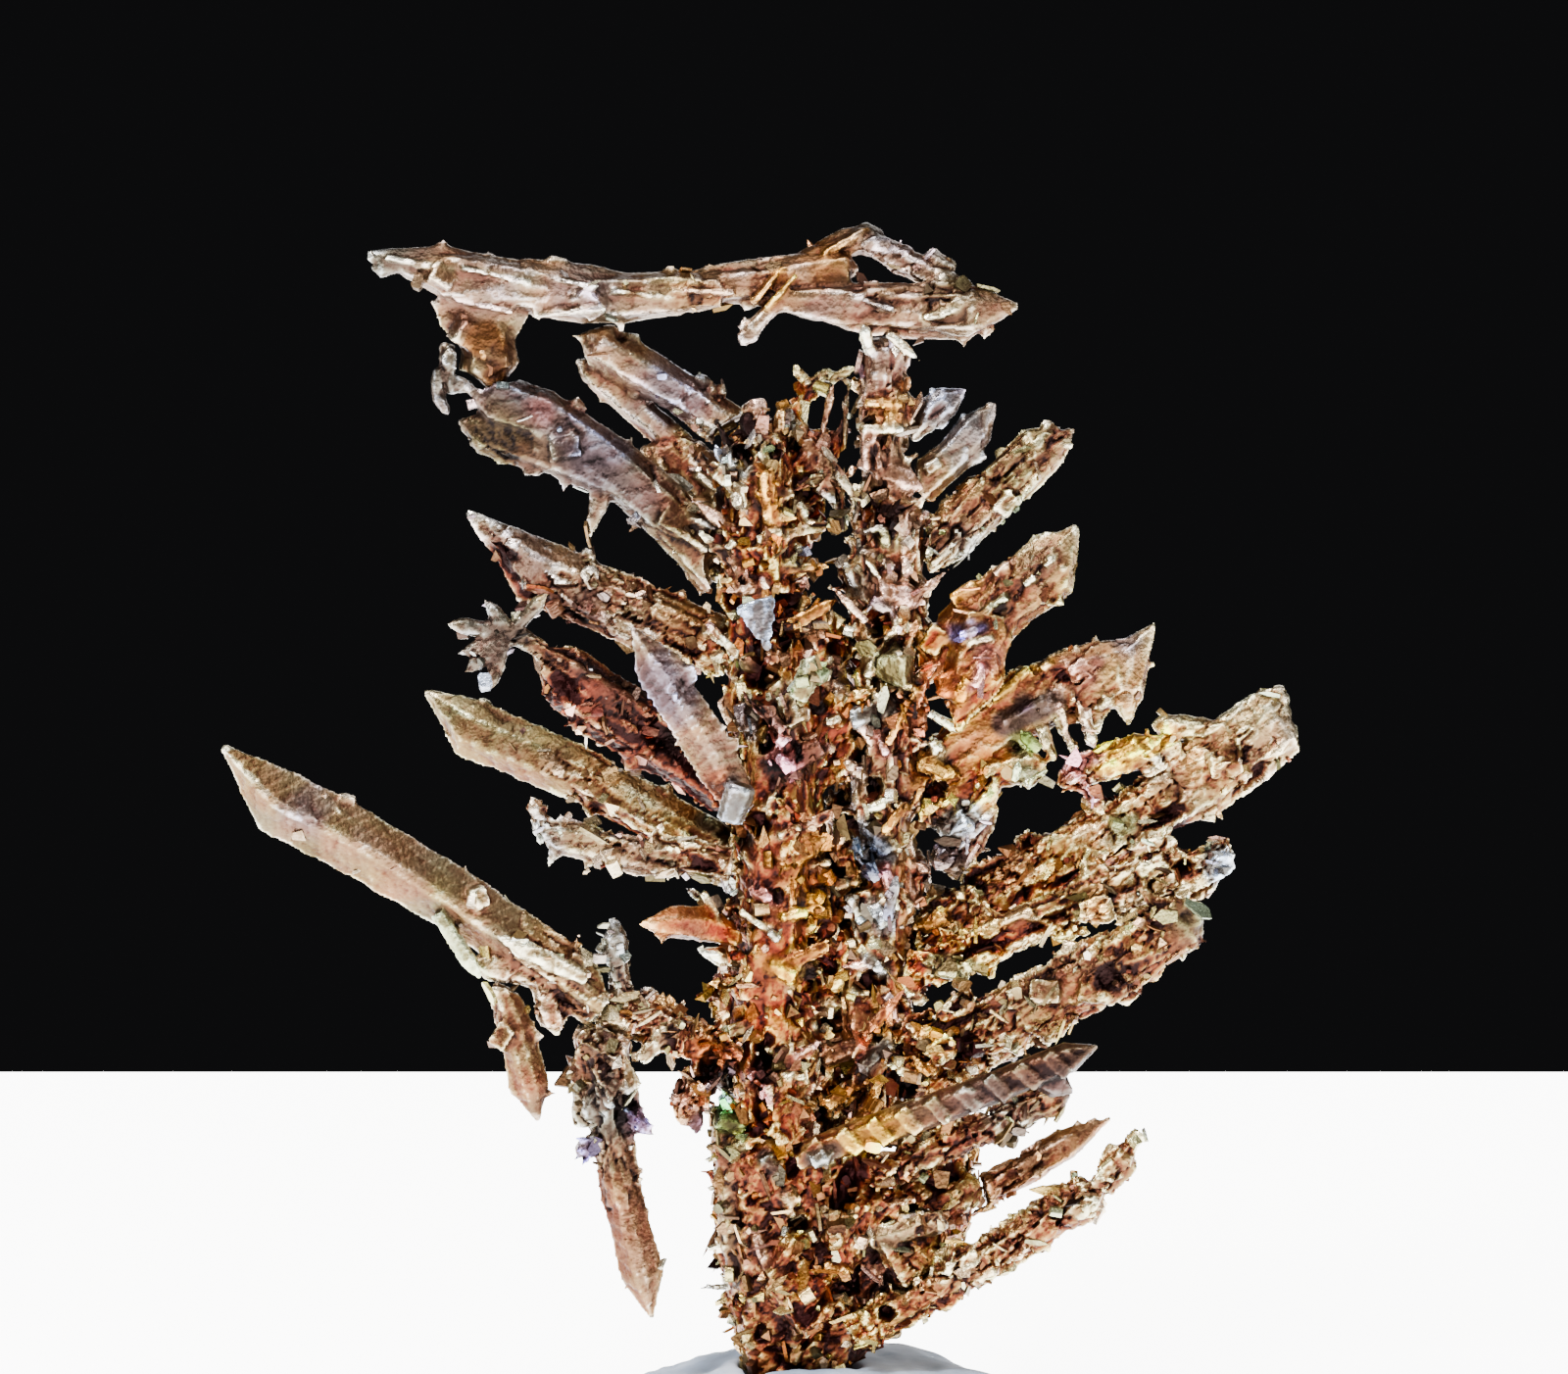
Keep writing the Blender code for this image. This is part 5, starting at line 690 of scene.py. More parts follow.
def own_axes(points, root_hint):
    """The branch's middle, its axes along, across and through it, and its half length; along points away
    from the root."""
    middle = points.mean(0)
    values, vectors = np.linalg.eigh(np.cov((points - middle).T))
    along = vectors[:, 2]
    across = vectors[:, 1]
    if np.dot(middle - root_hint, along) < 0:
        along = -along
    if across[2] < 0:
        across = -across
    reach = (points - middle) @ along
    return middle, np.stack([along, across, np.cross(along, across)], 1), reach.min(), reach.max()


def hull_template(points):
    """The convex hull of some points: a crystal of unit size, as points and triangles."""
    bm = bmesh.new()
    for p in points:
        bm.verts.new(p)
    bmesh.ops.convex_hull(bm, input=bm.verts)
    loose = [v for v in bm.verts if not v.link_faces]
    bmesh.ops.delete(bm, geom=loose, context="VERTS")
    bmesh.ops.triangulate(bm, faces=bm.faces)
    bmesh.ops.recalc_face_normals(bm, faces=bm.faces)
    bm.verts.index_update()
    made = (np.array([v.co[:] for v in bm.verts]), np.array([[v.index for v in f.verts] for f in bm.faces]))
    bm.free()
    return made


def crystal_templates(kind, count, seed):
    """Some crystals of one kind, each a little different. Their long side is X and their thin side Z."""
    rng = np.random.default_rng(seed)
    made = []
    corners = np.array(list(product((-1.0, 1.0), repeat=3)))
    for _ in range(count):
        if kind == "block":
            cut = np.concatenate([corners * (1.0, 1.0, 0.62), corners * (0.62, 1.0, 1.0)])
            points = cut * rng.uniform(0.72, 1.1, 3) * rng.uniform(0.85, 1.0, (16, 1))
        elif kind == "octahedron":
            tips = np.concatenate([np.eye(3), -np.eye(3)]) * rng.uniform(1.0, 1.35, (6, 1))
            points = tips + rng.uniform(-0.12, 0.12, (6, 3))
        elif kind == "plate":
            turns = np.sort(rng.uniform(0, 2 * math.pi, 6))
            ring = np.stack([np.cos(turns) * 1.2, np.sin(turns) * 0.9, np.zeros(6)], 1)
            points = np.concatenate([ring + (0, 0, 0.16), ring * 0.85 - (0, 0, 0.16)])
        elif kind == "bead":
            turns = rng.normal(size=(14, 3))
            points = turns / np.linalg.norm(turns, axis=1)[:, None]
        elif kind == "needle":
            side = np.array([(0, 1), (0.85, 0), (0, -1), (-0.85, 0)]) * 0.3
            ring = [(x, y * w, z * w) for x, w in ((-0.9, 0.8), (0.55, 1.0)) for y, z in side]
            points = np.array(ring + [(1.5, rng.uniform(-0.1, 0.1), 0.0)])
        else:
            side = [(-1, -0.35), (-1, 0.35), (0.4, 0.55), (1.3, 0.05), (0.5, -0.5)]
            points = np.array([(x, y, z) for x, y in side for z in (-0.13, 0.13)])
        made.append(hull_template(points))
    return made


KINDS = ("block", "octahedron", "plate", "bead", "needle", "leaf")
VARIETIES = 8
TEMPLATES = {}


def templates(kind):
    if kind not in TEMPLATES:
        TEMPLATES[kind] = crystal_templates(kind, VARIETIES, KINDS.index(kind) + 11)
    return TEMPLATES[kind]


class Growth:
    """The mesh of one branch as it is put together: its surface, then the crystals on it."""

    def __init__(self):
        self.points = []
        self.triangles = []
        self.values = {"shaded_tone": [], "warm": [], "tint": []}
        self.count = 0

    def add(self, points, triangles, shaded_tone, warm, tint):
        self.points.append(points)
        self.triangles.append(triangles + self.count)
        for name, value in (("shaded_tone", shaded_tone), ("warm", warm), ("tint", tint)):
            self.values[name].append(value)
        self.count += len(points)

    def add_crystals(self, kind, places, turns, sizes, shaded_tone, warm, tint, rng):
        """Crystals of one kind. turns are 3 x 3, with the crystal's axes as columns."""
        choice = rng.integers(0, VARIETIES, len(places))
        for number, (shape, faces) in enumerate(templates(kind)):
            mine = np.flatnonzero(choice == number)
            if not len(mine):
                continue
            scaled = shape[None] * sizes[mine][:, None, :]
            moved = np.einsum("nij,nkj->nki", turns[mine], scaled) + places[mine][:, None, :]
            shift = (np.arange(len(mine)) * len(shape))[:, None, None]
            each = len(shape)
            # Painted light: each crystal is paler on its outer side and darker where it sits on the surface.
            painted_light = 0.12 * np.clip(shape @ np.array((0.1, 0.2, 0.9)), -1, 1)
            self.add(moved.reshape(-1, 3), (faces[None] + shift).reshape(-1, 3),
                     np.repeat(shaded_tone[mine], each) + np.tile(painted_light, len(mine)), np.repeat(warm[mine], each),
                     np.repeat(tint[mine], each, axis=0))

    def build(self, name, material, sharp):
        """The finished mesh object, in metres, with its values as attributes."""
        points = np.concatenate(self.points) * MM
        triangles = np.concatenate(self.triangles).astype(np.int32)
        mesh = bpy.data.meshes.new(name)
        mesh.vertices.add(len(points))
        mesh.vertices.foreach_set("co", points.astype(np.float32).ravel())
        mesh.loops.add(triangles.size)
        mesh.loops.foreach_set("vertex_index", triangles.ravel())
        mesh.polygons.add(len(triangles))
        mesh.polygons.foreach_set("loop_start", np.arange(0, triangles.size, 3, dtype=np.int32))
        mesh.update(calc_edges=True)
        mesh.validate()
        mesh.shade_smooth()
        mesh.set_sharp_from_angle(angle=math.radians(sharp))
        for value in ("shaded_tone", "warm"):
            layer = mesh.attributes.new(value, "FLOAT", "POINT")
            layer.data.foreach_set("value", np.concatenate(self.values[value]).astype(np.float32))
        tint = np.concatenate(self.values["tint"])
        tint = np.concatenate([tint, np.ones((len(tint), 1))], 1)
        layer = mesh.attributes.new("tint", "FLOAT_COLOR", "POINT")
        layer.data.foreach_set("color", tint.astype(np.float32).ravel())
        mesh.materials.append(material)
        thing = bpy.data.objects.new(name, mesh)
        bpy.context.scene.collection.objects.link(thing)
        return thing


# ---------------------------------------------------------------- materials

class Nodes:
    """A short way to make and join the nodes of one material."""

    def __init__(self, name):
        self.material = bpy.data.materials.new(name)
        self.material.use_nodes = True
        self.tree = self.material.node_tree
        self.tree.nodes.clear()
        self.column = 0

    def new(self, kind, inputs=None, **settings):
        node = self.tree.nodes.new(kind)
        self.column += 1
        node.location = (self.column * 180, 0)
        for key, value in settings.items():
            setattr(node, key, value)
        for key, value in (inputs or {}).items():
            if isinstance(value, bpy.types.NodeSocket):
                self.tree.links.new(value, node.inputs[key])
            else:
                node.inputs[key].default_value = value
        return node

    def math(self, operation, a, b, clamp=False):
        return self.new("ShaderNodeMath", {0: a, 1: b}, operation=operation, use_clamp=clamp).outputs[0]

    def mix(self, factor, a, b, blend="MIX"):
        node = self.new("ShaderNodeMix", data_type="RGBA", blend_type=blend)
        for socket, value in ((0, factor), (6, a), (7, b)):
            if isinstance(value, bpy.types.NodeSocket):
                self.tree.links.new(value, node.inputs[socket])
            else:
                node.inputs[socket].default_value = value
        return node.outputs[2]

    def ramp(self, factor, stops):
        node = self.new("ShaderNodeValToRGB", {0: factor})
        elements = node.color_ramp.elements
        while len(elements) < len(stops):
            elements.new(0.5)
        for element, (place, colour) in zip(elements, stops):
            element.position = place
            element.color = (*colour, 1.0)
        return node.outputs[0]

    def attribute(self, name, output):
        return self.new("ShaderNodeAttribute", attribute_name=name).outputs[output]

    def noise(self, scale, detail=3.0, roughness=0.6):
        place = self.new("ShaderNodeNewGeometry").outputs["Position"]
        return self.new("ShaderNodeTexNoise", {"Vector": place, "Scale": scale, "Detail": detail,
                                               "Roughness": roughness}).outputs["Fac"]


def silver_material(slot, tarnish):
    """Tarnished silver: a grey and a golden ramp from hollows to crests, mixed by how warm it is; the ramps follow the
    shaded tone, so they carry painted shade and painted highlight.
    """
    n = Nodes(slot)
    speckle = n.noise(5200.0, 4.0, 0.7)
    cloud = n.noise(700.0, 3.0, 0.55)
    shaded_tone = n.attribute("shaded_tone", "Fac")
    shaded_tone = n.math("ADD", shaded_tone, n.math("MULTIPLY", n.math("SUBTRACT", speckle, 0.5), 0.34))
    shaded_tone = n.math("ADD", shaded_tone, n.math("MULTIPLY", n.math("SUBTRACT", cloud, 0.5), 0.22), True)
    # Painted shade at low tone, painted highlight at high tone.
    cool = n.ramp(shaded_tone, [(0.0, tarnish.cool_deep), (0.27, tarnish.cool_low), (0.56, tarnish.cool_face),
                         (0.95, tarnish.cool_crest)])
    warm = n.ramp(shaded_tone, [(0.0, tarnish.warm_deep), (0.27, tarnish.warm_low), (0.56, tarnish.warm_face),
                         (0.95, tarnish.warm_crest)])
    gold = n.math("ADD", n.attribute("warm", "Fac"), n.math("MULTIPLY", n.math("SUBTRACT", cloud, 0.5), 0.5),
                  True)
    colour = n.mix(gold, cool, warm)
    colour = n.mix(1.0, colour, n.attribute("tint", "Color"), "MULTIPLY")
    colour = n.mix(1.0, colour, (0.74, 0.74, 0.72, 1.0), "DARKEN")
    dull = n.math("MULTIPLY", n.math("SUBTRACT", speckle, 0.5), 0.35)
    rough = n.math("ADD", dull, tarnish.roughness + 0.12)
    rough = n.math("SUBTRACT", rough, n.math("MULTIPLY", shaded_tone, 0.22), True)
    place = n.new("ShaderNodeNewGeometry").outputs["Position"]
    fine = n.new("ShaderNodeTexVoronoi", {"Vector": place, "Scale": 6500.0}, feature="F1").outputs["Distance"]
    bump = n.new("ShaderNodeBump", {"Height": fine, "Strength": 0.35, "Distance": 0.00005})
    bump = n.new("ShaderNodeBump", {"Height": speckle, "Strength": 0.4, "Distance": 0.00006,
                                    "Normal": bump.outputs[0]})
    shader = n.new("ShaderNodeBsdfPrincipled", {"Base Color": colour, "Roughness": rough,
                                                "Metallic": tarnish.metallic, "Normal": bump.outputs[0]})
    n.new("ShaderNodeOutputMaterial", {"Surface": shader.outputs[0]})
    return n.material


MATERIALS = {}


def material_of(slot):
    if slot not in MATERIALS:
        MATERIALS[slot] = silver_material(slot, bpy.context.scene.silver_tarnish)
    return MATERIALS[slot]


def slot_of(node):
    """The record's material slot of a node."""
    return next(part["material_slot"] for part in frame["record"]["subparts"] if part["node"] == node)


# ---------------------------------------------------------------- the branches

ROOTS = np.array((0.3, 0.0, 20.0))      # roughly where every branch starts from
STEM_ROOT = np.array((0.0, 0.0, 0.0))
HANGING = ("drop_blade", "hanging_blade")


def between(pair, along):
    """A value that runs from the first of a pair at the root to the second at the tip."""
    a, b = np.array(pair[0], float), np.array(pair[1], float)
    if a.ndim:
        return a + (b - a) * along[:, None]
    return a + (b - a) * along


def root_hint(node):
    """Where the branch starts, for the direction of its axes."""
    if node in ("left_stem", "right_stem", "root_mass"):
        return STEM_ROOT
    low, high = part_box(node)
    middle = (low + high) / 2 / MM
    if node in HANGING:
        return np.array((middle.x, 0.0, middle.z + 20.0))
    return np.array((0.5, 0.0, middle.z - 3.0))


def relief(points, axes, middle, look, along, surface, seed):
    """How far each point moves out, the random numbers of its grain, and its share of crust and pits."""
    local = (points - middle) @ axes
    drawn_out = local * (look["drawn"], 1.0, 1.0)
    block, own = facets(drawn_out, surface.block, seed, 0.6)
    small, own_small = facets(local * (min(1.4 * look["drawn"], 1.0), 1.0, 1.0), surface.grain, seed + 1, 0.55)
    fibre = 1.0 - 2.4 * np.abs(drift(local * (0.2, 1.0, 1.0), 0.6, seed + 12))
    wander = drift(points, 2.6, seed + 2) * 0.9 + drift(points, 1.0, seed + 3) * 0.35
    crust = np.clip(between(look["crust"], along) * 1.9 - 0.55 + wander * 0.9, 0.0, 1.0)
    depth, pitch = look["chevron"]
    slant = (local[:, 0] + 0.8 * np.abs(local[:, 1])) / pitch + 0.35 * drift(points, 1.7, seed + 4)
    lines = depth * (np.modf(slant + 100.0)[0] - 0.5)
    hollow = drift(local * (0.5, 1.0, 1.0), 1.15, seed + 5) + 0.5 * drift(local * (0.7, 1, 1), 0.45, seed + 6)
    pit = np.clip((hollow - 0.95 + 0.95 * look["pits"]) * 2.4, 0.0, 1.0) * (0.2 + 0.8 * crust)
    rough = look["depth"] * (surface.block_depth * block + surface.grain_depth * small
                             + look["fibre"] * fibre)
    smooth = 0.14 * surface.block_depth * block + 0.16 * surface.grain_depth * small + lines \
        + 0.3 * look["fibre"] * fibre
    return crust * rough + (1.0 - crust) * smooth - look["hole"] * pit, own, own_small, crust, pit


def dress(node):
    """Makes the branch's own surface and crystals, in place of its plain solid."""
    surface = bpy.context.scene.silver_surface
    look = dict(USUAL, **LOOKS.get(node, {}))
    seed = surface.random * 101 + sorted(frame["nodes"]).index(node) * 17
    rng = np.random.default_rng(seed)
    solid = solid_of(node)
    plain = Surface(*fused([solid], 2.0 * surface.pitch))
    middle, axes, near, far = own_axes(plain.points, root_hint(node))
    core = solid
    if any(look["core"]):
        place = np.clip(((plain.points - middle) @ axes[:, 0] - near) / (far - near), 0.0, 1.0)
        drawn_back = between(look["core"], place)[:, None]
        core = (plain.points - plain.smoothed(plain.normals(), 2) * drawn_back, plain.triangles)
    flakes = list(flakes_of(node, solid))
    crystals = list(barbs(node, solid, axes, look, rng)) + list(named_crystals(node))
    crystals += [hull_template(shard_points(*flake[:5], flake[7])) for flake in flakes]
    base = Surface(*fused([core] + crystals, surface.pitch))
    along = np.clip(((base.points - middle) @ axes[:, 0] - near) / (far - near), 0.0, 1.0)
    broad = base.bulge(10)
    # Painted highlight, partly wear: the sharpest edges are made paler.
    rim_wear_and_highlight = np.clip((base.bulge(2) - 0.005) / 0.014, 0.0, 1.0)
    rise, own, own_small, crust, pit = relief(base.points, axes, middle, look, along, surface, seed)
    normals = base.smoothed(base.normals(), 2)
    normals /= np.maximum(np.linalg.norm(normals, axis=1), 1e-9)[:, None]
    edge = np.clip(broad / 0.12, 0.0, 1.0)
    marks = list(marks_of(node, base.points, flakes))
    calm = np.max([calmed for _, calmed, _, _ in marks] + [0.0 * edge], axis=0)
    opened_and_shaded = openings(node, base.points, normals)
    base.points = base.points + normals * (rise * (1.0 - 0.5 * edge) * (1.0 - 0.85 * calm))[:, None]
    base.points[:, 1] += 0.7 * opened_and_shaded
    fine = base.bulge(3)
    warm = between(look["warm"], along) + 0.25 * drift(base.points, 3.0, seed + 8)
    warm = warm + 0.4 * pit - 2.0 * np.clip(fine, 0.0, 0.1)
    fold = drift((base.points - middle) @ axes * (0.35, 1.0, 1.0), 1.1, seed + 21)
    # Painted shade and highlight: the tone is darker in hollows, pits and low places and paler on crests, edges and
    # raised places, as light and shade fall there; the grain, fold and look terms are the branch's own tone.
    shaded_tone = 0.42 + between(look["shade"], along) + (1.0 + 0.9 * crust) * np.clip(broad, -0.22, 0.16) + 4.2 * np.clip(fine, -0.1, 0.1) \
        + 1.0 * np.clip(rise, -0.3, 0.4) - 0.38 * pit + 0.2 * (own_small[:, 1] - 0.5) * (0.3 + crust) \
        + 0.12 * (own[:, 2] - 0.5) + 0.17 * rim_wear_and_highlight * (1.0 - 0.6 * crust) + 0.11 * fold
    tint = between(look["tint"], along)
    # More painted shade and highlight where the face is crusted.
    shaded_tone = shaded_tone + 0.2 * crust * (shaded_tone - 0.45)
    golden = drift(base.points, 1.4, seed + 9)[:, None] * np.array(HUE_GOLDEN)
    olive = drift(base.points, 0.9, seed + 10)[:, None] * np.array(HUE_OLIVE)
    tint = tint * (1.0 + golden + olive + 0.14 * (own - 0.5) * np.array((0.6, 0.5, 1.0)))
    face = np.array(STAIN_BASE)
    tint, warm = stained(node, base.points, tint, warm, face)
    # Painted shade in the openings.
    shaded_tone = shaded_tone - 0.45 * opened_and_shaded
    # Each mark's paler value raises or lowers the tone; on the forked blade's flakes and the emerald flake it is
    # painted highlight.
    for share, _, colour, paler in marks:
        tint = tint * (1.0 - share)[:, None] + np.array(colour) / face * share[:, None]
        warm = warm * (1.0 - share)
        shaded_tone = shaded_tone + paler * share
    bare = np.clip(10.0 * calm - 7.0, 0.0, 1.0)
    growth = Growth()
    growth.add(base.points, base.triangles, shaded_tone, warm, tint)
    grow_crystals(growth, base, axes, look, along, edge, crust, bare, shaded_tone, warm, tint, surface, rng)
    thing = growth.build(node + "_silver", material_of(slot_of(node)), 38.0)
    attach(thing, BODY)
    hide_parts(node)
    slot_of(node)
    return thing


def stained(node, points, tint, warm, face):
    """The tint and the warmth with the branch's stains laid over them."""
    for x, z, reach, colour, strength in STAINS.get(node, ()):
        far = np.hypot(points[:, 0] - x, points[:, 2] - z) / reach
        ragged = far + 0.3 * drift(points, 0.7, 91)
        share = strength * np.clip(1.7 - 1.7 * ragged, 0.0, 1.0)
        tint = tint * (1.0 - share)[:, None] + np.array(colour) / face * share[:, None]
        warm = warm * (1.0 - share)
    return tint, warm


def shard_points(start, end, width, thick, pointed, lean=(0.0, -1.0, 0.0)):
    """A flat six-sided crystal from start to end, its face towards the lean, as points for a hull."""
    start, end = np.array(start), np.array(end)
    length = np.linalg.norm(end - start)
    along = (end - start) / length
    side = np.cross(along, lean)
    side /= np.linalg.norm(side)
    out = np.cross(side, along)
    points = []
    for place, scale in ((0.0, 0.85), (1.0 - pointed, 1.0), (1.0, 0.12 if pointed > 0.15 else 0.8)):
        for across, deep in ((-1, 0), (-0.5, 1), (0.5, 1), (1, 0), (0.5, -1), (-0.5, -1)):
            points.append(start + along * length * place + side * (0.5 * width * scale * across)
                          + out * (0.5 * thick * scale * deep))
    return points


def flakes_of(node, solid):
    """This branch's small plates and rods, each laid on the front of its solid: start, end, width,
    thickness, pointed share, colour, how much paler, and the way its face looks."""
    tree = BVHTree.FromPolygons(solid[0].tolist(), solid[1].tolist())
    for number, (x0, z0, x1, z1, width, colour, paler) in enumerate(FLAKES.get(node, ())):
        tries = [Vector((x0 + (x1 - x0) * part, -40.0, z0 + (z1 - z0) * part)) for part in (0.5, 0.2, 0.8)]
        hits = [tree.ray_cast(place, Vector((0.0, 1.0, 0.0)))[0] for place in tries]
        hits = [hit for hit in hits if hit]
        if not hits:
            continue
        front = hits[0].y + (0.15 if paler < 0 else -0.12)
        turn = 2.4 * number
        lean = np.array((0.35 * math.sin(turn), -1.0, 0.35 * math.cos(turn)))
        line = np.array((x1 - x0, 0.0, z1 - z0))
        deeper = (line @ lean) * 0.8
        yield ((x0, front - deeper / 2, z0), (x1, front + deeper / 2, z1), 1.25 * width, 0.3 + 0.4 * width,
               0.15 if number % 3 else 0.4, colour, paler, lean)


def marks_of(node, points, flakes):
    """Where each of this branch's shards, flakes and knobs covers the points, how calm it keeps them,
    its colour, and how much paler it is."""
    marks = [(start, end, 0.5 * width, colour, paler)
             for start, end, width, _, _, colour, paler in SHARDS.get(node, ())]
    marks += [(start, end, 0.5 * width, colour, paler) for start, end, width, _, _, colour, paler, _ in flakes]
    marks += [(centre, (centre[0], centre[1], centre[2] + 0.01), radius, colour, 0.0)
              for centre, radius, colour in BEADS.get(node, ())]
    for start, end, reach, colour, paler in marks:
        start, end = np.array(start), np.array(end)
        line = end - start
        place = np.clip(((points - start) @ line) / (line @ line), 0.0, 1.0)
        far = np.linalg.norm(points - start - place[:, None] * line, axis=1)
        share = 0.8 * np.clip((reach + 0.1 - far) / 0.2, 0.0, 1.0)
        yield share, share * min(max(reach / 0.95, 0.62), 1.0), colour, paler


def openings(node, points, normals):
    """How far each point lies in one of this branch's openings, 0 to 1: they are pushed back and darkened with painted
    shade.
    """
    share = np.zeros(len(points))
    for x, z, reach in HOLES.get(node, ()):
        far = np.hypot(points[:, 0] - x, points[:, 2] - z) / (1.3 * reach)
        far += 0.6 * drift(points, 0.55, 33) + 0.35 * drift(points, 0.25, 34)
        share = np.maximum(share, np.clip(2.0 - 2.0 * far, 0.0, 1.0))
    return share * np.clip(-2.0 * normals[:, 1], 0.0, 1.0)


def named_crystals(node):
    """The shards and knobs of this branch as closed pieces."""
    for start, end, width, thick, pointed, _, _ in SHARDS.get(node, ()):
        yield hull_template(shard_points(start, end, width, thick, pointed))
    for centre, radius, _ in BEADS.get(node, ()):
        points, faces = templates("bead")[0]
        yield np.array(centre) + radius * points, faces


def barbs(node, solid, axes, look, rng):
    """Slender crystals that sprout up and outwards, as the branches themselves do."""
    count, shortest, longest, blocky = look["barbs"]
    points, triangles = solid
    corners = points[triangles]
    flat = np.cross(corners[:, 1] - corners[:, 0], corners[:, 2] - corners[:, 0])
    area = np.linalg.norm(flat, axis=1)
    chosen = rng.choice(len(area), count, p=area / area.sum())
    places = (corners[chosen] * rng.dirichlet((1, 1, 1), count)[:, :, None]).sum(1)
    normals = flat[chosen] / area[chosen][:, None]
    upright = abs(axes[2, 0]) > 0.8
    centre = points[:, 0].mean()
    kept = [(np.array(start) + np.array(end)) / 2 for start, end, *_ in SHARDS.get(node, ())]
    for place, normal in zip(places, normals):
        if any(np.linalg.norm((place - spot)[[0, 2]]) < 0.9 for spot in kept):
            continue
        if upright:
            side = np.sign(place[0] - centre + rng.normal(0.0, 1.0))
            outward = np.array((0.8 * side, -0.25, 0.75))
        else:
            outward = axes[:, 0] + rng.choice((-0.5, 0.5)) * axes[:, 1]
        along = outward + normal * 0.35 + rng.normal(0.0, 0.2, 3)
        along /= np.linalg.norm(along)
        length = shortest * (longest / shortest) ** rng.random()
        width = length * rng.uniform(0.2, 0.34) + 0.1 + 0.35 * blocky
        start = place - normal * (0.25 + 0.25 * blocky) - along * length * 0.3
        thick = max(0.28, width * rng.uniform(0.5, 0.8))
        yield hull_template(turned_shard(start, along, normal, length, width, thick, rng))


def turned_shard(start, along, normal, length, width, thick, rng):
    """A flat six-sided crystal like shard_points, its face turned to the surface it grows on."""
    side = np.cross(along, normal + rng.normal(0.0, 0.3, 3))
    side /= np.linalg.norm(side)
    out = np.cross(side, along)
    points = []
    tip = rng.uniform(0.08, 0.7)
    for place, scale in ((0.0, 0.85), (rng.uniform(0.55, 0.85), 1.0), (1.0, tip)):
        for across, deep in ((-1, 0), (-0.5, 1), (0.5, 1), (1, 0), (0.5, -1), (-0.5, -1)):
            points.append(start + along * length * place + side * (0.5 * width * scale * across)
                          + out * (0.5 * thick * scale * deep))
    return points


def crystal_frames(normals, axes, rng, jitter, lying):
    """Axes for each crystal: along the branch's own for most, and otherwise any way round."""
    count = len(normals)
    quarter = rng.integers(0, 4, count) * (math.pi / 2) + rng.normal(0.0, jitter, count)
    slant = math.pi / 4
    x = axes[:, 0] * np.cos(quarter + slant)[:, None] + axes[:, 1] * np.sin(quarter + slant)[:, None]
    x = x + rng.normal(0.0, jitter, (count, 3)) * 0.6
    z = np.where(lying[:, None], normals, np.cross(normals, x))
    x = x - (x * z).sum(1)[:, None] * z / np.maximum((z * z).sum(1), 1e-9)[:, None]
    x = x / np.maximum(np.linalg.norm(x, axis=1), 1e-9)[:, None]
    z = z / np.maximum(np.linalg.norm(z, axis=1), 1e-9)[:, None]
    y = np.cross(z, x)
    return np.stack([x, y, z], 2)


def grow_crystals(growth, base, axes, look, along, edge, crust, bare, shaded_tone, warm, tint, surface, rng):
    """Small crystals over the surface, thickest where it is crusted and along its edges."""
    flat = base.triangle_normals()
    area = np.linalg.norm(flat, axis=1) / 2
    first = base.triangles[:, 0]
    share = between(look["seeds"], along[first])
    weight = area * share * (0.12 + 0.9 * crust[first] + 0.5 * edge[first]) * (1.0 - bare[first])
    count = int(surface.seeds * weight.sum())
    chosen = rng.choice(len(area), count, p=weight / weight.sum())
    vertex = first[chosen]
    blend = rng.dirichlet((1, 1, 1), count)
    corners = base.points[base.triangles[chosen]]
    places = (corners * blend[:, :, None]).sum(1)
    normals = flat[chosen] / np.maximum(np.linalg.norm(flat[chosen], axis=1), 1e-12)[:, None]
    size = surface.seed * look["seed_size"] * np.exp(rng.normal(0.0, 0.42, count))
    size = np.clip(size, 0.06, 0.28)
    kind = rng.choice(len(KINDS), count, p=(0.2, 0.08, 0.2, 0.2, 0.2, 0.12))
    lying = rng.random(count) < 0.55
    turns = crystal_frames(normals, axes, rng, 0.22, lying)
    stretch = np.exp(rng.normal(0.0, 0.22, (count, 3)))
    # Painted light: each crystal gets a tone paler than the surface under it, carrying part of its painted shade.
    painted_light = np.minimum(shaded_tone[vertex] * 0.35 + 0.40 + rng.normal(0.0, 0.17, count), 0.8)
    tints = tint[vertex] * (1.0 + rng.normal(0.0, 0.06, (count, 1)) + rng.normal(0.0, 0.04, (count, 3))
                            + rng.normal(0.0, 0.9, (count, 1)) * np.array(HUE_GOLDEN)
                            + rng.normal(0.0, 0.9, (count, 1)) * np.array(HUE_OLIVE))
    warmth = warm[vertex] - 0.12 + rng.normal(0.0, 0.22, count)
    for number, name in enumerate(KINDS):
        mine = kind == number
        bigger = {"plate": 1.5, "needle": 1.45, "leaf": 1.6, "bead": 0.62}.get(name, 1.0)
        growth.add_crystals(name, places[mine] + normals[mine] * (size[mine] * 0.25)[:, None], turns[mine],
                            (size * bigger)[mine][:, None] * stretch[mine], painted_light[mine], warmth[mine],
                            tints[mine], rng)


class BranchWork:
    """What the branch operators share."""

    bl_options = {"REGISTER", "UNDO"}
    branches = ()

    def execute(self, context):
        for node in self.branches:
            if node not in frame["nodes"]:
                raise RuntimeError(f"The frame has no branch named {node}")
            dress(node)
        return {"FINISHED"}


class SILVER_OT_stems(BranchWork, Operator):
    """Dress the root mass and the two upright stems."""

    bl_idname = "silver.stems"
    bl_label = "Stems"
    branches = ("root_mass", "left_stem", "right_stem")


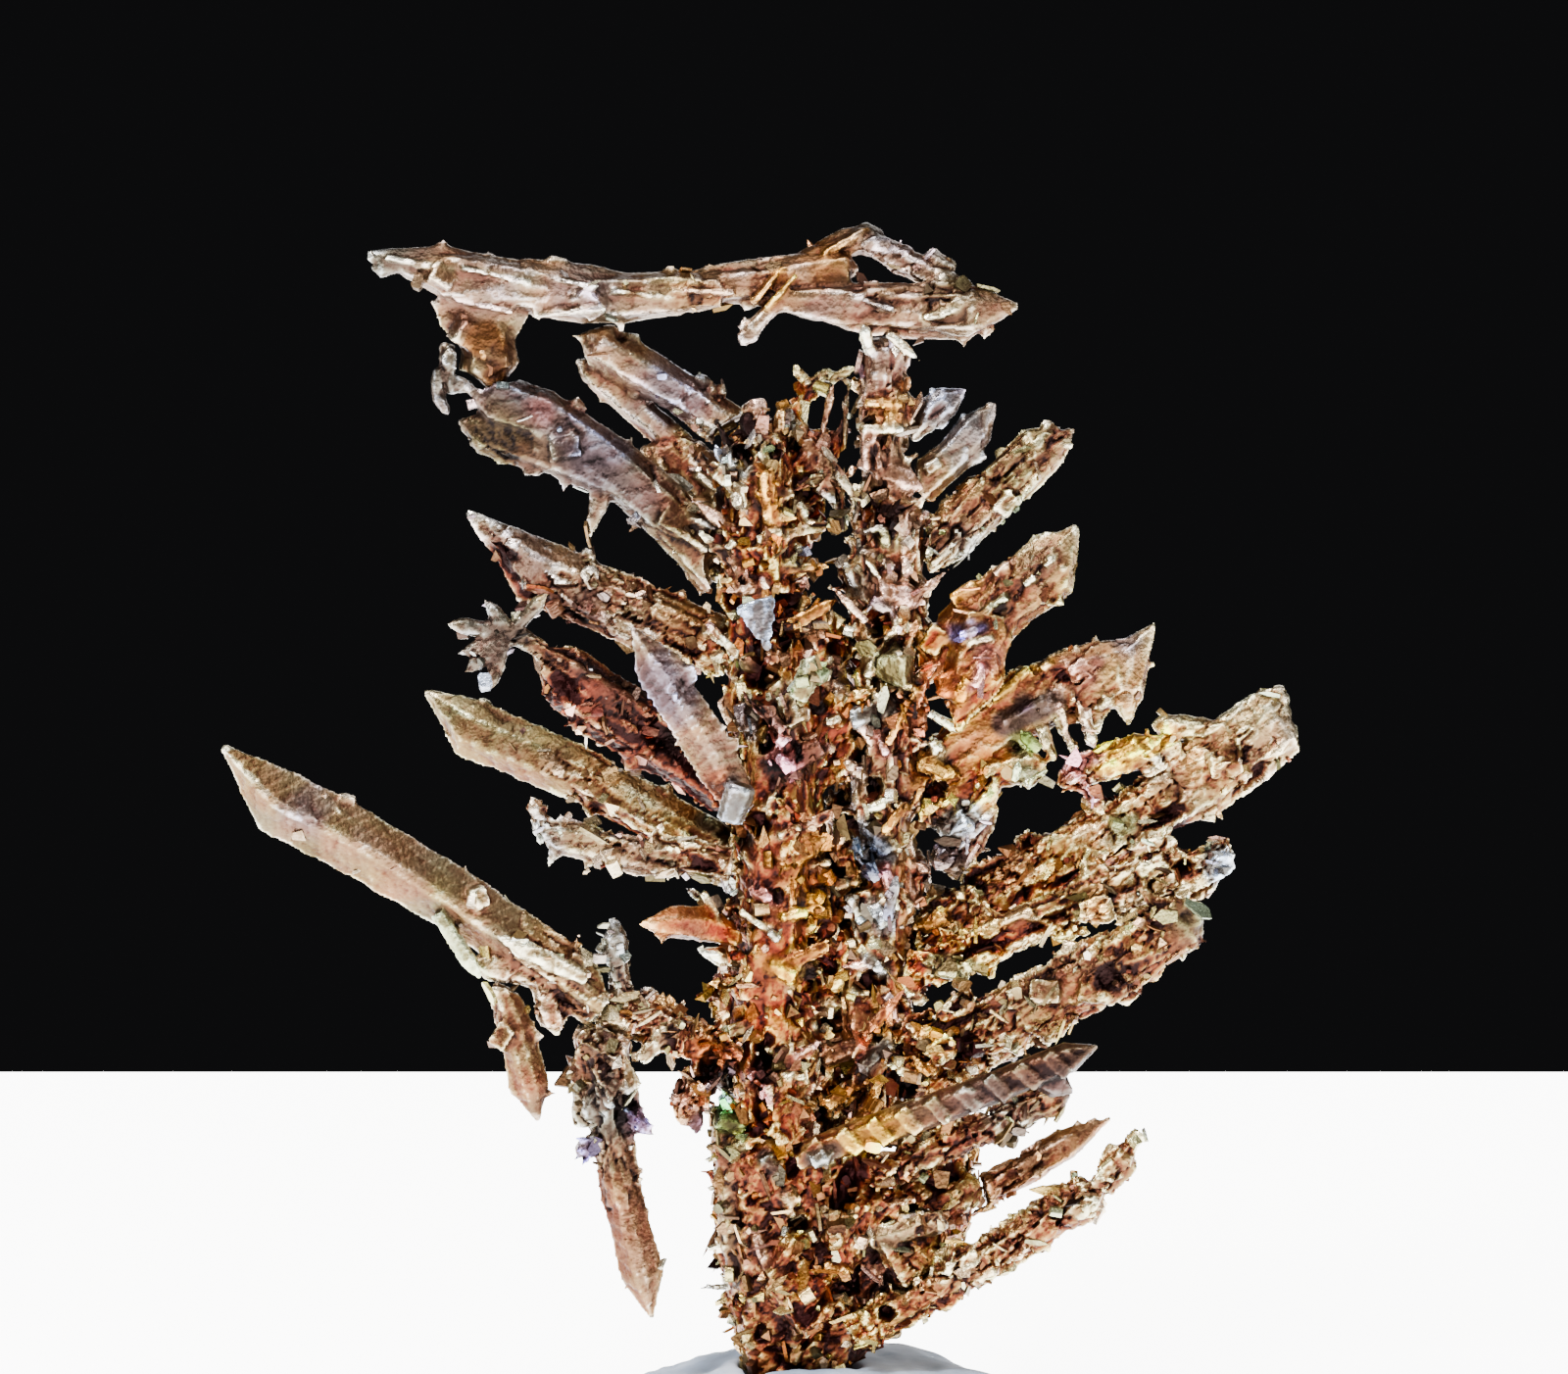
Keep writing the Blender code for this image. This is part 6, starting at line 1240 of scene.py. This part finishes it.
class SILVER_OT_crown(BranchWork, Operator):
    """Dress the bar across the top and the blades that carry it."""

    bl_idname = "silver.crown"
    bl_label = "Top bar and upper blades"
    branches = ("top_bar", "upper_blade", "hooked_blade")


class SILVER_OT_left(BranchWork, Operator):
    """Dress the branches on the left."""

    bl_idname = "silver.left"
    bl_label = "Left branches"
    branches = ("left_spear", "feather_arm", "left_lance", "leaf_blade", "thorn_twig", "lens_crystal")


class SILVER_OT_great(BranchWork, Operator):
    """Dress the great blade, its fork and the blades that hang from them."""

    bl_idname = "silver.great"
    bl_label = "Great blade and hanging blades"
    branches = ("left_fork", "great_blade", "drop_blade", "hanging_blade")


class SILVER_OT_right(BranchWork, Operator):
    """Dress the upper blades on the right."""

    bl_idname = "silver.right"
    bl_label = "Right blades"
    branches = ("right_blade_1", "right_blade_2", "right_blade_3", "forked_blade", "jagged_blade")


class SILVER_OT_arms(BranchWork, Operator):
    """Dress the long arms on the right."""

    bl_idname = "silver.arms"
    bl_label = "Long arms"
    branches = ("long_arm", "lace_arm_upper", "lace_arm_lower", "low_blade")


class SILVER_OT_bars(BranchWork, Operator):
    """Dress the bars and blades low on the right."""

    bl_idname = "silver.bars"
    bl_label = "Low bars"
    branches = ("ribbed_bar", "bar_below", "thin_blade", "lowest_blade")


# ---------------------------------------------------------------- the putty

PUTTY = "putty_mound"


def putty_material(slot):
    """Blue-grey putty: matt, with smears where it was pressed."""
    n = Nodes(slot)
    cloud = n.noise(260.0, 4.0, 0.6)
    smear = n.noise(1500.0, 3.0, 0.6)
    colour = n.ramp(cloud, [(0.3, linear(128, 146, 172)), (0.5, linear(168, 182, 204)),
                            (0.72, linear(208, 216, 230))])
    rough = n.math("ADD", n.math("MULTIPLY", smear, 0.3), 0.4)
    bump = n.new("ShaderNodeBump", {"Height": smear, "Strength": 0.35, "Distance": 0.00012})
    shader = n.new("ShaderNodeBsdfPrincipled", {"Base Color": colour, "Roughness": rough,
                                                "Normal": bump.outputs[0], "Subsurface Weight": 0.08,
                                                "Subsurface Radius": (0.001, 0.001, 0.001)})
    n.new("ShaderNodeOutputMaterial", {"Surface": shader.outputs[0]})
    return n.material


class SILVER_OT_putty(Operator):
    """Make the pressed putty that the specimen stands in."""

    bl_idname = "silver.putty"
    bl_label = "Putty"
    bl_options = {"REGISTER", "UNDO"}

    def execute(self, context):
        seed = context.scene.silver_surface.random
        base = Surface(*fused([solid_of(PUTTY)], 0.22))
        base.points = base.smoothed(base.points, 4)
        normals = base.normals()
        low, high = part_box(PUTTY)
        foot = np.clip((base.points[:, 2] - low.z / MM) / 0.5, 0.0, 1.0)
        folds = 0.30 * drift(base.points * (1, 1, 1.6), 3.4, seed) + 0.12 * drift(base.points, 1.2, seed + 1)
        prints = -0.25 * np.clip(drift(base.points, 2.2, seed + 2) - 0.25, 0.0, 1.0)
        ridges = 0.02 * np.sin(base.points @ np.array((6.0, 2.5, 9.0)))
        base.points = base.points + normals * ((folds + prints + ridges) * foot)[:, None]
        base.points[:, 2] = np.clip(base.points[:, 2], low.z / MM, high.z / MM + 0.4)
        growth = Growth()
        blank = np.zeros(len(base.points))
        growth.add(base.points, base.triangles, blank, blank, np.ones((len(blank), 3)))
        thing = growth.build("putty", putty_material(slot_of(PUTTY)), 70.0)
        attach(thing, BODY)
        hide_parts(PUTTY)
        return {"FINISHED"}


# ---------------------------------------------------------------- the stage

VIEW_CENTRE = Vector((-1.4, 0.0, 32.9)) * MM
FLOOR_BACK = 84.0      # the floor ends this far behind the specimen
FLOOR_REACH = 260.0


def soft_light(name, place, size, watts, colour):
    """A square light that looks at the specimen and isn't seen itself."""
    light = bpy.data.lights.new(name, "AREA")
    light.size = size * MM
    light.energy = watts
    light.color = colour
    thing = bpy.data.objects.new(name, light)
    thing.location = Vector(place) * MM
    thing.rotation_mode = "QUATERNION"
    thing.rotation_quaternion = (thing.location - VIEW_CENTRE).to_track_quat("Z", "Y")
    thing.visible_camera = False
    bpy.context.scene.collection.objects.link(thing)
    return thing


class SILVER_OT_stage(Operator):
    """Set out the floor, the lights and the camera."""

    bl_idname = "silver.stage"
    bl_label = "Stage"
    bl_options = {"REGISTER", "UNDO"}

    def execute(self, context):
        stage = context.scene.silver_stage
        bm = bmesh.new()
        bmesh.ops.create_grid(bm, x_segments=24, y_segments=24, size=1.0)
        for v in bm.verts:
            v.co.x = v.co.x * FLOOR_REACH * MM
            v.co.y = (FLOOR_BACK - (1.0 - v.co.y) * FLOOR_REACH) * MM
        mesh = bpy.data.meshes.new("floor")
        bm.to_mesh(mesh)
        bm.free()
        n = Nodes("floor")
        grain = n.noise(900.0, 3.0, 0.5)
        pale = [c * 0.96 for c in stage.floor]
        colour = n.ramp(grain, [(0.35, pale), (0.7, tuple(stage.floor))])
        shader = n.new("ShaderNodeBsdfPrincipled", {"Base Color": colour, "Roughness": 0.6,
                                                    "Emission Color": (1.0, 1.0, 0.99, 1.0),
                                                    "Emission Strength": stage.glow})
        n.new("ShaderNodeOutputMaterial", {"Surface": shader.outputs[0]})
        mesh.materials.append(n.material)
        floor = bpy.data.objects.new("floor", mesh)
        context.scene.collection.objects.link(floor)

        world = bpy.data.worlds.new("dark backdrop")
        world.use_nodes = True
        world.node_tree.nodes["Background"].inputs["Color"].default_value = (*stage.dark, 1.0)
        context.scene.world = world

        soft_light("key", (-150, -210, 290), 60, stage.key, (1.0, 0.98, 0.95))
        soft_light("front", (90, -320, 90), 200, stage.fill, (1.0, 0.98, 0.96))
        soft_light("right", (300, -60, 120), 160, stage.fill, (1.0, 0.97, 0.93))
        soft_light("left", (-300, 40, 90), 160, stage.fill, (0.95, 0.97, 1.0))
        soft_light("top", (-20, -110, 330), 320, stage.fill * 8.0, (1.0, 1.0, 1.0))
        soft_light("back", (60, 330, 160), 200, stage.fill, (1.0, 1.0, 1.0))

        lens = bpy.data.cameras.new("camera")
        lens.lens = stage.lens
        lens.sensor_width = 36.0
        lens.clip_start = 0.01
        lens.clip_end = 5.0
        camera = bpy.data.objects.new("camera", lens)
        back = Vector((0.0, -math.cos(stage.tilt), math.sin(stage.tilt)))
        camera.location = VIEW_CENTRE + back * stage.distance
        camera.rotation_euler = (math.pi / 2 - stage.tilt, 0.0, 0.0)
        context.scene.collection.objects.link(camera)
        context.scene.camera = camera
        return {"FINISHED"}


# ---------------------------------------------------------------- panel and start

WORKS = (SILVER_OT_stems, SILVER_OT_crown, SILVER_OT_left, SILVER_OT_great, SILVER_OT_right, SILVER_OT_arms,
         SILVER_OT_bars, SILVER_OT_putty, SILVER_OT_stage)


class SILVER_PT_panel(Panel):
    """Lists the steps that dress the specimen, and their settings."""

    bl_idname = "SILVER_PT_panel"
    bl_label = "Native silver"
    bl_space_type = "VIEW_3D"
    bl_region_type = "UI"
    bl_category = "Native silver"

    def draw(self, context):
        column = self.layout.column(align=True)
        for work in WORKS:
            column.operator(work.bl_idname)
        for group in (context.scene.silver_surface, context.scene.silver_tarnish, context.scene.silver_stage):
            box = self.layout.box()
            for name in group.bl_rna.properties.keys():
                if name not in ("rna_type", "name"):
                    box.prop(group, name)


GROUPS = (("silver_surface", SilverSurface), ("silver_tarnish", SilverTarnish), ("silver_stage", StageSettings))


def register():
    for name, group in GROUPS:
        bpy.utils.register_class(group)
        setattr(bpy.types.Scene, name, PointerProperty(type=group))
    for work in WORKS:
        bpy.utils.register_class(work)
    bpy.utils.register_class(SILVER_PT_panel)


def unregister():
    bpy.utils.unregister_class(SILVER_PT_panel)
    for work in reversed(WORKS):
        bpy.utils.unregister_class(work)
    for name, group in reversed(GROUPS):
        delattr(bpy.types.Scene, name)
        bpy.utils.unregister_class(group)


def main():
    register()
    for work in WORKS:
        family, name = work.bl_idname.split(".")
        getattr(getattr(bpy.ops, family), name)()


if __name__ == "__main__":
    main()
